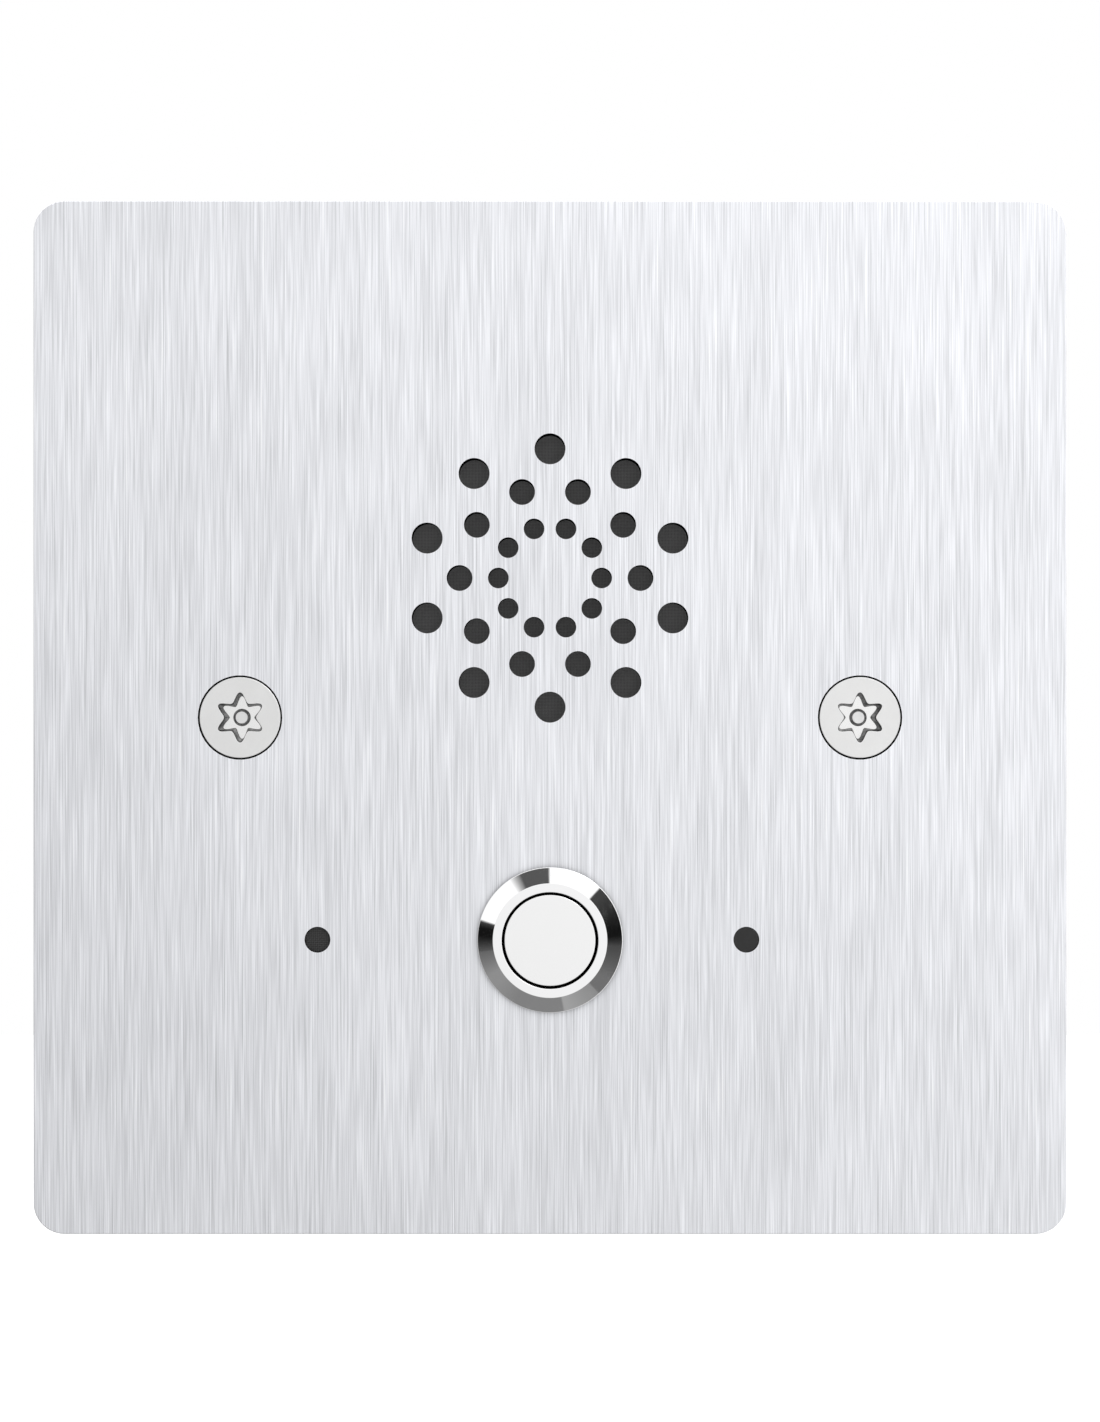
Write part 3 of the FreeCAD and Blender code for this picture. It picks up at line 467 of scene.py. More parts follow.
# %% How a finish is put together
class Finish(Nodes):
    """A material whose colour, roughness and relief are built up from masks."""

    def __init__(self, name, colour, roughness, metallic=0.0, constants=(), centre=None):
        self.material = bpy.data.materials.new(name)
        self.material.use_nodes = True
        self.material.diffuse_color = (*colour, 1.0)
        super().__init__(self.material.node_tree)
        self.shader = self.tree.nodes["Principled BSDF"]
        self.colour, self.rough, self.normal = colour, roughness, None
        plain = {"Base Color": (*colour, 1.0), "Roughness": roughness, "Metallic": metallic}
        for label, value in {**plain, **dict(constants)}.items():
            self.shader.inputs[label].default_value = value
        self.place = self.add("ShaderNodeTexCoord").outputs["Object"]
        if centre is not None:
            away = (-centre[0] / 1000, 0, -centre[1] / 1000)
            self.place = self.add("ShaderNodeMapping", {"Vector": self.place, "Location": away}).outputs[0]

    def put(self, label, source):
        self.tree.links.new(source, self.shader.inputs[label])
        return self

    def marks(self, group, **values):
        """Outputs of a shared effect placed in this material with its own values."""
        inputs = {label.capitalize(): value for label, value in values.items()}
        return self.add("ShaderNodeGroup", {"Vector": self.place, **inputs}, node_tree=group).outputs

    def streaks(self, x, y, z, detail=2.0, rough=0.5, warp=0.0):
        """Noise with its own number of cycles per metre along each axis."""
        return self.noise(self.vector("MULTIPLY", self.place, (x, y, z)), detail, rough, warp)

    def shade(self, mask, low, high, from_low=0.0, from_high=1.0):
        """Multiplies the colour by low to high, as the mask runs over its range."""
        factor = self.span(mask, from_low, from_high, low, high)
        scaled = self.add("ShaderNodeVectorMath", {0: self.colour, 3: factor}, operation="SCALE")
        self.colour = scaled.outputs[0]
        return self.put("Base Color", self.colour)

    def tint(self, mask, colour, share=1.0):
        """Mixes in a share of a second colour where the mask is 1."""
        mask = self.times(mask, share) if share < 1 else mask
        self.colour = self.blend(mask, self.colour, colour)
        return self.put("Base Color", self.colour)

    def gloss(self, mask, low, high, from_low=0.0, from_high=1.0):
        """Roughness from low to high, as the mask runs over its range."""
        self.rough = self.span(mask, from_low, from_high, low, high)
        return self.put("Roughness", self.rough)

    def roughen(self, mask, roughness):
        """Mixes in another roughness where the mask is 1."""
        self.rough = self.math("ADD", self.times(self.rough, self.rest(mask)), self.times(mask, roughness))
        return self.put("Roughness", self.rough)

    def relief(self, height, depth):
        """Bump of `depth` millimetres between the height's 0 and 1."""
        bump = self.add("ShaderNodeBump", {"Height": height, "Distance": depth / 1000, "Strength": 1.0})
        if self.normal is not None:
            self.tree.links.new(self.normal, bump.inputs["Normal"])
        self.normal = bump.outputs[0]
        return self.put("Normal", self.normal)

    def grain(self, size):
        """Shade of moulded grain."""
        return self.marks(MOULDED_GRAIN, size=size)["Shade"]

    def cloud(self, size, low, high):
        """Soft clouds of handling that shade the colour."""
        return self.shade(self.marks(HANDLING, size=size)["Cloud"], low, high)

    def rub(self, size, low, high):
        """Spots rubbed by handling, with a roughness of their own."""
        return self.gloss(self.marks(HANDLING, size=size)["Rub"], low, high)

    def dust(self, spacing, colour, share=1.0):
        return self.tint(self.marks(SPECKS, spacing=spacing)["Mask"], colour, share)

    def cut_edge(self, stop):
        """1 on the cut edges of a sheet, whose faces look along Y."""
        normal = self.add("ShaderNodeNewGeometry").outputs["Normal"]
        return self.span(self.math("ABSOLUTE", self.split(normal)[1]), 0.7, stop, smooth=True)

    def apart(self, centre, mirrored=False):
        """Distance in metres from the axis along Y through (x, z) millimetres, or from it and its mirror."""
        x, _, z = self.split(self.place)
        x = self.math("ABSOLUTE", x) if mirrored else x
        x, z = (self.math("SUBTRACT", at, middle / 1000) for at, middle in zip((x, z), centre))
        away = self.join(x, 0.0, z)
        return self.add("ShaderNodeVectorMath", {0: away}, operation="LENGTH").outputs["Value"]


def coat(weight, roughness):
    """Values of a clear coat."""
    return {"Coat Weight": weight, "Coat Roughness": roughness}

# %% [markdown]
# ## Camera, floor and light
# The photograph looks straight at the plate from about twice its width away: the hole walls show more and
# more towards the edges. A 56 mm lens at 218 mm from the wall gives that, and puts the plate's edges where
# they are in the picture.

# %% Camera
camera_data = bpy.data.cameras.new("front camera")
camera_data.lens = 56.25
camera_data.sensor_width = 36.0
camera_data.clip_start = 0.01
camera = placed("front camera", camera_data)
camera.location = (0.0, -0.218, 0.00063)
camera.rotation_euler = (math.radians(90), 0, 0)
bpy.context.scene.camera = camera
bpy.context.scene.view_settings.view_transform = "Standard"
print("camera at", tuple(round(c, 5) for c in camera.location))

# %% [markdown]
# The light is a pale studio dome that grows brighter towards the upper right, as the plate in the photograph
# does, and two soft lamps that give the floor and the parts behind the plate their gentle shadows. Camera
# and glass rays see plain white behind everything, and mirror rays see the dome at its full level.

# %% World and lamps
DOME_LEVEL, DOME_SLOPE, DOME_LEAST = 0.80, 0.42, 0.3
WHITE = (1.0, 1.0, 1.0, 1.0)

world = bpy.data.worlds.new("pale studio")
bpy.context.scene.world = world
world.use_nodes = True
sky = Nodes(world.node_tree)
sky_shader = world.node_tree.nodes["Background"]
rays = sky.add("ShaderNodeLightPath").outputs
toward = sky.split(sky.add("ShaderNodeTexCoord").outputs["Generated"])
slope = sky.times(sky.math("ADD", toward[0], toward[2]), DOME_SLOPE)
graded = sky.math("MAXIMUM", sky.math("ADD", slope, 1.0), DOME_LEAST)
level = sky.times(graded, sky.math("MAXIMUM", rays["Is Glossy Ray"], DOME_LEVEL))
seen = sky.math("MAXIMUM", rays["Is Camera Ray"], rays["Is Transmission Ray"])
strength = sky.math("ADD", seen, sky.times(sky.rest(seen), level))
sky.feed(WHITE, sky_shader.inputs["Color"])
sky.feed(strength, sky_shader.inputs["Strength"])


def soft_lamp(name, place, aim, size, power):
    """Square area lamp at `place` that faces `aim`, both in metres."""
    data = bpy.data.lights.new(name, "AREA")
    data.energy, data.size = power, size
    lamp = placed(name, data)
    x, y, z = np.array(aim) - np.array(place)
    lamp.location = place
    lamp.rotation_euler = (math.atan2(math.hypot(x, y), -z), 0, math.atan2(-x, y))


soft_lamp("front lamp", (0.55, -0.75, 0.85), (0, 0, 0), 0.6, 3.0)
soft_lamp("back lamp", (-0.6, 0.8, 0.7), (0, 0.01, 0), 0.6, 3.5)

# %% [markdown]
# The floor is a plain pale sheet far enough below that the hanging plate's shadow stays out of the front
# view. To the camera its colour lies just at white where nothing shades it.

# %% Floor
def stage_sheet(name, grid, finish):
    """Sheet in metres that stands in the studio and isn't part of the object."""
    mesh = bpy.data.meshes.new(name)
    mesh.from_pydata(grid.reshape(-1, 3), [], quads(*grid.shape[:2]))
    mesh.materials.append(finish)
    made = placed(name, mesh)
    return made


FLOOR_HALF, FLOOR_Z = 1.5, -0.25
GLOWING = {"Specular IOR Level": 0.0, "Emission Color": WHITE}

pale = Finish("pale floor", (0.8, 0.8, 0.8), 0.9, constants=GLOWING)
camera_ray = pale.add("ShaderNodeLightPath").outputs["Is Camera Ray"]
pale.tint(camera_ray, WHITE).put("Emission Strength", pale.times(camera_ray, 0.12))
line = np.linspace(-FLOOR_HALF, FLOOR_HALF, 3)
u, v = np.meshgrid(line, line)
floor = stage_sheet("floor", np.stack([u, v, 0 * u + FLOOR_Z], -1), pale.material)
floor.visible_glossy = False
print("floor at", FLOOR_Z, "m")

# %% [markdown]
# The polished bevel round the button is a cone of mirror, so it shows a ring of the studio about forty
# degrees off its axis: two bright windows at the top, dark flags at both sides, grey walls below. A ring of
# card that only mirrors see stands there. A short lighting plan gives its brightness by angle, and the law
# of reflection, r = v - 2 (v.n) n, carries each angle of the bevel to the ring.

# %% Reflected ring for the polished bevel
BEVEL_TILT = math.atan2(0.52, 1.525)
BEVEL_RADIUS, BEVEL_DEPTH = 0.00625, -0.00366
STUDIO = [  # card, flag or wall; the angle it starts at; the degrees it fades in over; its tone, 0 to 255
    ("right wall", 10, 30, 65), ("right window", 45.5, 1.5, 255), ("gap between the windows", 90, 1.5, 85),
    ("edge of the left window", 114, 2, 135), ("left window", 116, 8, 255),
    ("edge of the left flag", 163, 2, 60), ("left flag", 165, 5, 20), ("left wall", 176, 12, 80),
    ("foot of the left wall", 188.5, 1.5, 100), ("lower left wall", 190, 20, 140),
    ("lower wall", 220, 20, 127), ("low card", 280.5, 1.5, 158), ("end of the low card", 285, 27, 138),
    ("lower right wall", 312, 1.5, 110), ("foot of the right wall", 325, 30, 70), ("right flag", 355, 9, 20)]


def linear(tone):
    """Linear light of a display tone from 0 to 255."""
    s = np.asarray(tone, float) / 255
    return np.where(s <= 0.04045, s / 12.92, ((s + 0.055) / 1.055) ** 2.4)


def studio_tone(angle):
    """Tone that the studio shows at an angle: straight lines between the start and the end of each fade."""
    start, fade, tone = np.array([row[1:] for row in STUDIO]).T
    before = np.roll(tone, 1)
    at = np.stack([start, start + fade], -1).ravel()
    level = np.stack([before, tone], -1).ravel()
    return np.interp(angle, at, level, period=360)


def reflected_ring(distance=0.5, spread=2.0, segments=720):
    """Band in front of the bevel: the point b of the bevel at angle phi sends its mirrored sight line to
    b + distance (sin p cos a, -cos p, sin p sin a), with p within `spread` degrees of that line."""
    phi = np.radians(np.linspace(-180, 180, segments + 1))
    normal = round_axis((0, 0), math.sin(BEVEL_TILT), -math.cos(BEVEL_TILT), phi)
    point = round_axis((0, 0), BEVEL_RADIUS, BEVEL_DEPTH, phi) + np.array([BUTTON[0], 0, BUTTON[1]]) / 1000
    view = unit(point - np.array(camera.location))
    mirrored = view - 2 * (view * normal).sum(1, keepdims=True) * normal
    around = np.arctan2(mirrored[:, 2], mirrored[:, 0])
    polar = np.arccos(-mirrored[:, 1]) + np.radians(np.linspace(-spread, spread, 3))[:, None]
    grid = point + distance * round_axis((0, 0), np.sin(polar), -np.cos(polar), around)
    return grid, np.broadcast_to(linear(studio_tone(np.degrees(phi) % 360)), grid.shape[:2])


def card(name, grid, tones):
    """Card whose glow is stored at its points; only mirror rays see it."""
    dark = Finish(name + " glow", (0, 0, 0), 1.0, constants=GLOWING)
    stored = dark.add("ShaderNodeAttribute", attribute_name="glow").outputs["Fac"]
    made = stage_sheet(name, grid, dark.put("Emission Strength", dark.times(stored, 1.1)).material)
    glow = made.data.attributes.new("glow", "FLOAT", "POINT")
    glow.data.foreach_set("value", tones.ravel().astype(np.float32))
    made.visible_camera = made.visible_diffuse = made.visible_shadow = False
    made.visible_transmission = made.visible_volume_scatter = False


card("bevel_ring", *reflected_ring())
print("reflected ring in place")

# %% [markdown]
# ## The plate
# A real plate is cut from sheet that was brushed along its grain with an abrasive belt. The scratches are
# about a tenth of a millimetre wide and a few millimetres long, and they lie upright here. Noise stretched
# in Z gives them without an image. The walls of the holes are the laser's rough oxide, painted near black
# and without shine as the shade inside the holes. The thin dark ring round the bezel is painted shadow.

# %% Brushed plate
RIM_SHADOW_RADIUS = 7.0


def brushed_plate():
    """Upright brushing, with a painted shadow: a thin dark ring just round the bezel's rim."""
    steel = Finish("brushed stainless", (0.785, 0.794, 0.826), 0.34, 1.0)
    lines, ridges = steel.marks(BRUSH_LINES, across=10.4, along=0.152)
    steel.shade(lines, 0.68, 1.32, 0.25, 0.75).cloud(26.0, 0.99, 1.01)
    # Painted shadow: the colour falls to 0.45 of itself in a thin ring just outside the bezel's rim.
    past_rim = steel.math("SUBTRACT", steel.apart(BUTTON), RIM_SHADOW_RADIUS / 1000)
    painted_rim_shadow = steel.math("MINIMUM", steel.math("EXPONENT", steel.times(past_rim, -4200)), 1.0)
    return steel.shade(painted_rim_shadow, 1.0, 0.45).gloss(lines, 0.40, 0.28, 0.3, 0.7).relief(ridges, 0.004).material


def shaded_cut_wall_finish():
    """Laser-cut wall: oxide painted near black and without shine, as the shade inside the holes, with fine
    drag lines through the thickness.
    """
    oxide = Finish("laser-cut wall painted dark as shade", (0.003, 0.003, 0.0033), 1.0, constants={"Specular IOR Level": 0.0})
    drag = oxide.streaks(9000, 500, 9000)
    return oxide.shade(drag, 0.4, 1.8).relief(drag, 0.01).material


def plate_edge_finish():
    """Outer edge, ground along its length: lines run round the plate."""
    steel = Finish("ground edge", (0.60, 0.606, 0.622), 0.36, 1.0)
    lines = steel.streaks(300, 14000, 300)
    return steel.shade(lines, 0.80, 1.18, 0.3, 0.7).gloss(lines, 0.30, 0.42).relief(lines, 0.006).material


def dress(finish, *nodes):
    """Puts a finish on solids that keep their own shape."""
    for name in nodes:
        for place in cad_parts[name].material_slots:
            place.material = finish


def fetched(items, field, shape, kind=float):
    """One field of all faces or corners of a mesh, as an array."""
    values = np.empty(shape, kind)
    items.foreach_get(field, values.ravel())
    return values


def dressed_plate(finishes, ease=0.12, edge_band=4.0):
    """The plate with a finish each for its faces, the walls of its openings and its outer edge."""
    mesh = merged_copy("front_plate")
    for finish in finishes:
        mesh.materials.append(finish)
    count = len(mesh.polygons)
    normal = fetched(mesh.polygons, "normal", (count, 3))
    middle = fetched(mesh.polygons, "center", (count, 3)) * 1000
    inside = np.abs(middle[:, [0, 2]]).max(1) < box_mm("front_plate")[1][0] - edge_band
    kind = np.where(np.abs(normal[:, 1]) > 0.9, 0, np.where(inside, 1, 2))
    mesh.polygons.foreach_set("material_index", kind.astype(np.int32))
    mesh.polygons.foreach_set("use_smooth", np.ones(count, bool))
    around = fetched(mesh.loops, "edge_index", len(mesh.loops), np.int32)
    owner = np.repeat(kind, fetched(mesh.polygons, "loop_total", count, np.int32))
    weight = np.zeros(len(mesh.edges), np.float32)
    weight[np.intersect1d(around[owner == 0], around[owner == 2])] = 1.0
    mesh.attributes.new("bevel_weight_edge", "FLOAT", "EDGE").data.foreach_set("value", weight)
    mesh.set_sharp_from_angle(angle=math.radians(30))
    made = placed("front_plate_brushed", mesh)
    bevel = made.modifiers.new("eased rim", "BEVEL")
    bevel.width, bevel.segments, bevel.limit_method = ease / 1000, 2, "WEIGHT"
    bevel.harden_normals = True
    return settle(made, "station", "front_plate")


# The walls of the openings and the countersinks get the near black wall finish: painted shade inside the
# holes.
plate = dressed_plate([brushed_plate(), shaded_cut_wall_finish(), plate_edge_finish()])
print("plate finished:", len(plate.data.polygons), "faces")

# %% [markdown]
# ## The security screws
# A driver with six points and a hole for the centre pin turns these screws. The star's radius changes with
# the angle: straight flanks between tips and valleys, blurred a little so that both are round. The thread
# is a triangle wave of y / pitch - angle / 360 degrees.

# %% Star and thread
def star_radius(a, tip=2.73, valley=1.42, points=6, blur=8):
    """Radius of a star with straight flanks, one tip up, averaged over a few degrees.

    On a flank, r = T V sin(h) / (T sin(b) + V sin(h - b)), with b the angle from the tip, h half a point."""
    half = math.pi / points
    b = np.abs((a - math.pi / 2 + half) % (2 * half) - half)
    ring = (tip * valley * math.sin(half) / (tip * np.sin(b) + valley * np.sin(half - b)))[:-1]
    window = np.hanning(2 * blur + 3)[1:-1]
    smooth = np.convolve(np.concatenate([ring[-blur:], ring, ring[:blur]]), window / window.sum(), "valid")
    return np.append(smooth, smooth[0])


def thread_wave(y, a, pitch):
    """Triangle wave from 0 at the root to 1 at the crest, climbing one pitch a turn."""
    turn = (y[:, None] / pitch - a[None, :] / (2 * math.pi)) % 1.0
    return np.clip(1.6 - 3.78 * np.abs(turn - 0.5), 0.0, 1.0)


def threaded(profile, a, start, stop, pitch, depth):
    """Radius of each row, cut by a thread between two heights, fading over half a pitch."""
    radius, y = profile[:, :1], profile[:, 1]
    fade = np.clip((y - start) / pitch * 2, 0, 1) * np.clip((stop - y) / pitch * 2, 0, 1)
    return radius - depth * fade[:, None] * (1 - thread_wave(y, a, pitch))


tips = star_radius(np.linspace(0, 2 * math.pi, 217))
print("star radius from", round(tips.min(), 2), "to", round(tips.max(), 2), "mm")

# %% [markdown]
# Each screw is a skin over grids of angle and profile: the profile starts on top of the centre pin, crosses
# the recess floor, climbs the star's wall, runs over the head and down the thread to the tip. Grids let the
# bright face, the torn wall and the struck floor have a finish each. The star's wall, its rims and the
# head's side are painted dark as shade; the floor and the pin's wall are painted lighter against that shade.

# %% Screws
STAR_FLOOR, STAR_INSET = PLATE_FRONT + 1.45, 0.31
PIN_RADIUS, PIN_FOOT = 0.61, 0.85
HEAD_RADIUS, SHANK_RADIUS = 3.905, 2.0
SCREW_TIP = depths("fixing_screws")[1]
SCREW_PITCH, SCREW_THREAD = 0.7, 0.36


def screw_skins(x):
    """The screw's grids: pin, recess floor, star wall, face and thread.

    On the star the first number of each profile point is the distance off the star's outline."""
    pin_top = STAR_FLOOR - 0.28
    pin = held([(0, pin_top), (PIN_RADIUS - 0.03, pin_top), (PIN_RADIUS, pin_top + 0.03)], 0.05)
    wall_top = PLATE_FRONT + 0.04
    wall = line_of(np.linspace(-STAR_INSET, -0.01, 9), np.linspace(STAR_FLOOR, wall_top, 9))
    chamfer = [(-0.01, wall_top), (0.045, PLATE_FRONT + 0.004)]
    lip = [chamfer[1], (0.06, PLATE_FRONT), (0.12, PLATE_FRONT)]
    slope_start = PLATE_FRONT + 0.09
    slope_end = slope_start + HEAD_RADIUS - SHANK_RADIUS
    face = [(2.5, PLATE_FRONT), (3.1, PLATE_FRONT), (HEAD_RADIUS - 0.09, PLATE_FRONT),
            (HEAD_RADIUS - 0.04, PLATE_FRONT), (HEAD_RADIUS, PLATE_FRONT + 0.03)]
    side = [face[-1], (HEAD_RADIUS, slope_start), (HEAD_RADIUS - 0.3, slope_start + 0.3)]
    cone = [side[-1], (SHANK_RADIUS, slope_end), (SHANK_RADIUS, slope_end + 0.5)]
    thread = line_of(SHANK_RADIUS, np.arange(slope_end + 0.5, SCREW_TIP - 0.45, SCREW_PITCH / 8))
    end = [(SHANK_RADIUS, SCREW_TIP - 0.45), (1.55, SCREW_TIP), (0, SCREW_TIP)]

    def star_rows(profile, a):
        return star_radius(a) + profile[:, :1]

    def floor_rows(profile, a):
        edge = star_radius(a) - STAR_INSET
        return np.stack([np.full_like(a, PIN_FOOT), 0.5 * (PIN_FOOT + edge), edge - 0.03, edge])

    def face_rows(profile, a):
        return np.concatenate([star_radius(a)[None] + lip[-1][0], np.repeat(profile[1:, :1], len(a), 1)])

    def shank_rows(profile, a):
        return threaded(profile, a, slope_end + 0.3, SCREW_TIP - 0.3, SCREW_PITCH, SCREW_THREAD)

    # The star's wall, its chamfer and the head's side take the recess wall finish: painted shade in the
    # recess and in the gap round the head.
    skins = [(pin, None, 0), ([pin[-1], (PIN_FOOT, STAR_FLOOR)], None, 3),
             ([(0, STAR_FLOOR)] * 4, floor_rows, 2), (wall, star_rows, 1), (chamfer, star_rows, 1),
             (lip, star_rows, 0), (face, face_rows, 0), (side, None, 1),
             (np.concatenate([cone, thread, end]), shank_rows, 0)]
    return [(turned(profile, (x, 0.0), 216, rows), finish) for profile, rows, finish in skins]


def screw_finish(name, colour, roughness):
    steel = Finish(name, colour, roughness, 1.0)
    grain = steel.grain(0.16)
    steel.shade(grain, 0.97, 1.03).cloud(2.4, 0.985, 1.01)
    return steel.gloss(grain, 0.9 * roughness, 1.1 * roughness).relief(grain, 0.0012).material


def shaded_recess_finish():
    """Broached wall of a recess: torn steel in light and dark streaks on a dark base painted as the recess's
    shade, and black along both rims as painted shade.
    """
    steel = Finish("recess wall painted dark as shade", (0.13, 0.13, 0.13), 0.42, 0.85)
    torn = steel.streaks(2600, 900, 2600, 3.0, 0.62, 0.4)
    steel.shade(torn, 0.25, 2.4, 0.36, 0.66).shade(steel.streaks(7000, 1200, 7000, 1.0), 0.75, 1.25)
    y = steel.split(steel.place)[1]
    top = steel.span(y, (PLATE_FRONT + 0.32) / 1000, (PLATE_FRONT + 0.20) / 1000)
    foot = steel.span(y, (STAR_FLOOR - 0.32) / 1000, (STAR_FLOOR - 0.20) / 1000)
    off_pin = steel.math("GREATER_THAN", steel.apart((SCREW_X, 0.0), mirrored=True), 0.00095)
    # Painted shade: black bands along the top rim of the wall and at its foot.
    steel.tint(steel.math("MAXIMUM", top, steel.times(foot, off_pin)), (0.010, 0.010, 0.010))
    return steel.relief(torn, 0.02).material


def lightened_pin_wall_finish():
    """Wall of the centre pin, painted light: matt grey with pale flecks, kept lighter than the shade of the
    recess round it.
    """
    steel = Finish("pin wall painted lighter", (0.30, 0.30, 0.30), 0.5, 0.35)
    fleck = steel.streaks(4200, 1500, 4200)
    return steel.shade(fleck, 0.6, 1.5, 0.36, 0.66).relief(fleck, 0.01).material


# The recess floor's colour is painted lighter than the screw steel, against the shade of the recess walls;
# its low roughness is the polish of striking.
SCREW_FINISHES = [screw_finish("screw steel", (0.775, 0.775, 0.772), 0.42), shaded_recess_finish(),
                  screw_finish("recess floor painted lighter", (0.83, 0.83, 0.825), 0.12), lightened_pin_wall_finish()]
screws = piece("security_screws", screw_skins(-SCREW_X) + screw_skins(SCREW_X), SCREW_FINISHES,
               "fixing_screws")
print("screws:", len(screws.data.polygons), "faces")

# %% [markdown]
# ## The push-button
# The bezel is turned from bar and polished to a mirror: its bevel is what catches the eye. Bezel and
# actuator are profiles turned round the button's axis, with small radii on every edge, since a real edge
# always has one and it is what draws the thin bright line round the face.

# %% Bezel and actuator
BEZEL_FRONT, BARREL_END = depths("button_bezel")
ACTUATOR_FRONT, ACTUATOR_END = depths("button_actuator")
SPRING_FRONT, SPRING_BACK = depths("return_spring")
BARREL_RADIUS, BARREL_PITCH, BARREL_THREAD = 6.0, 0.75, 0.38
RIM_RADIUS, BORE_RADIUS, FACE_RADIUS, STEM_RADIUS = 7.025, 4.66, 4.40, 1.6
SHOULDER_BACK = SPRING_BACK + 2.0


def bezel_skins():
    """The bezel's grids: polished head, bore and the threaded barrel with its rear socket."""
    rim = PLATE_FRONT - 0.4
    lip = (BORE_RADIUS, BEZEL_FRONT + 0.9)
    head = rounded([lip, (BORE_RADIUS, BEZEL_FRONT), (5.5, BEZEL_FRONT), (RIM_RADIUS, rim),
                    (RIM_RADIUS, PLATE_FRONT), (BARREL_RADIUS, PLATE_FRONT)], [0.05, 0.015, 0.03, 0.02])
    bore = [lip, (BORE_RADIUS, SPRING_BACK), (2.05, SPRING_BACK), (2.05, SHOULDER_BACK),
            (5.0, SHOULDER_BACK), (5.0, BARREL_END - 0.2), (5.2, BARREL_END), (5.8, BARREL_END)]
    thread = line_of(BARREL_RADIUS, np.arange(PLATE_BACK + 0.2, BARREL_END - 0.2, BARREL_PITCH / 8))
    barrel = np.concatenate([head[-1:], thread, [(BARREL_RADIUS, BARREL_END - 0.2), bore[-1]]])

    def barrel_rows(profile, a):
        return threaded(profile, a, PLATE_BACK, BARREL_END, BARREL_PITCH, BARREL_THREAD)

    # The bore and its lip take the steel painted near black: painted shade in the gap round the actuator.
    return [(turned(held(head[1:], 0.03), BUTTON, 192), 0), (turned(held(head[:2]), BUTTON, 192), 2),
            (turned(bore, BUTTON), 2), (turned(barrel, BUTTON, radius=barrel_rows), 1)]


def actuator_skins():
    """The pressed face with its rounded rim, then the side and the thin spigot down to its end."""
    corners = [(0, ACTUATOR_FRONT), (FACE_RADIUS, ACTUATOR_FRONT), (FACE_RADIUS, SPRING_FRONT),
               (2.0, SPRING_FRONT), (2.0, SHOULDER_BACK), (STEM_RADIUS, SHOULDER_BACK + 0.02),
               (STEM_RADIUS, ACTUATOR_END), (0, ACTUATOR_END)]
    profile = held(rounded(corners, [0.06, 0.1, 0.15, 0.05, 0.05, 0.15]), 0.05)
    rim = int(np.argmax(profile[:, 0] > FACE_RADIUS - 1e-4)) + 1
    # The actuator's side takes the steel painted near black: painted shade in the gap round it.
    return [(turned(profile[:rim], BUTTON, 192), 0), (turned(profile[rim - 1:], BUTTON, 192), 1)]


def polished_finish(name, colour, roughness, rings):
    steel = Finish(name, colour, roughness, 1.0, centre=BUTTON)
    marks = steel.marks(LATHE_MARKS, rings=rings)["Shade"]
    steel.shade(marks, 0.99, 1.01).rub(5.0, roughness, roughness + 0.05)
    return steel.relief(marks, 0.0003).material


def turned_finish(name, colour, roughness, depth=0.004):
    """Turned or plated metal: rings from the tool, faint clouds from handling."""
    metal = Finish(name, colour, roughness, 1.0)
    fine, cloud = metal.streaks(900, 16000, 900), metal.marks(HANDLING, size=4.0)["Cloud"]
    metal.shade(fine, 0.94, 1.05, 0.3, 0.7).shade(cloud, 0.95, 1.03)
    return metal.gloss(cloud, roughness + 0.06, roughness - 0.04).relief(fine, depth).material


MIRROR_STEEL = polished_finish("mirror polished steel", (0.93, 0.93, 0.935), 0.03, 14.0)
SATIN_FACE = polished_finish("satin actuator face", (0.915, 0.915, 0.915), 0.09, 10.0)
TURNED_STEEL = turned_finish("turned steel", (0.60, 0.60, 0.60), 0.3)
# Steel painted near black, as the shade deep in the gap between bezel and actuator.
GAP_SHADE_STEEL = turned_finish("steel painted dark as gap shade", (0.045, 0.043, 0.04), 0.5)

bezel = piece("button_bezel_turned", bezel_skins(), [MIRROR_STEEL, TURNED_STEEL, GAP_SHADE_STEEL],
              "button_bezel", crease=28)
actuator = piece("button_actuator_turned", actuator_skins(), [SATIN_FACE, GAP_SHADE_STEEL],
                 "button_actuator", "button", crease=40)
print("bezel:", len(bezel.data.polygons), "faces, actuator:", len(actuator.data.polygons))

# %% [markdown]
# ## Cloth, foam and the two small holes
# Behind the speaker holes lies a dark acoustic cloth, glued flat, that only bulges a hair's breadth into
# each hole. It is a stretched sheet: a fine grid whose height is a sum of small hills under the holes.

# %% Speaker cloth
HOLE_RINGS = ((12.5, 90.0), (8.75, 0.0), (5.0, 0.0))
CLOTH_SIDE = 31.0


def hole_centres():
    """(x, z) of the thirty speaker holes: ten on each ring, from a first angle on."""
    radius, first = np.array(HOLE_RINGS).T[:, :, None]
    a = np.radians(first + 36 * np.arange(10))
    return SPEAKER + line_of(radius * np.cos(a), radius * np.sin(a)).reshape(-1, 2)


def stretched_cloth():
    """Sheet with y = front + 0.07 - 0.05 sum exp(-d^2 / 1.1) over the holes, d the distance to each."""
    low, high = box_mm("speaker_cloth")
    u, v = np.meshgrid(np.linspace(low[0], high[0], 156), np.linspace(low[2], high[2], 156))
    holes = hole_centres()
    distance = (u[..., None] - holes[:, 0]) ** 2 + (v[..., None] - holes[:, 1]) ** 2
    return np.stack([u, low[1] + 0.07 - 0.05 * np.exp(-distance / 1.1).sum(-1), v], -1)


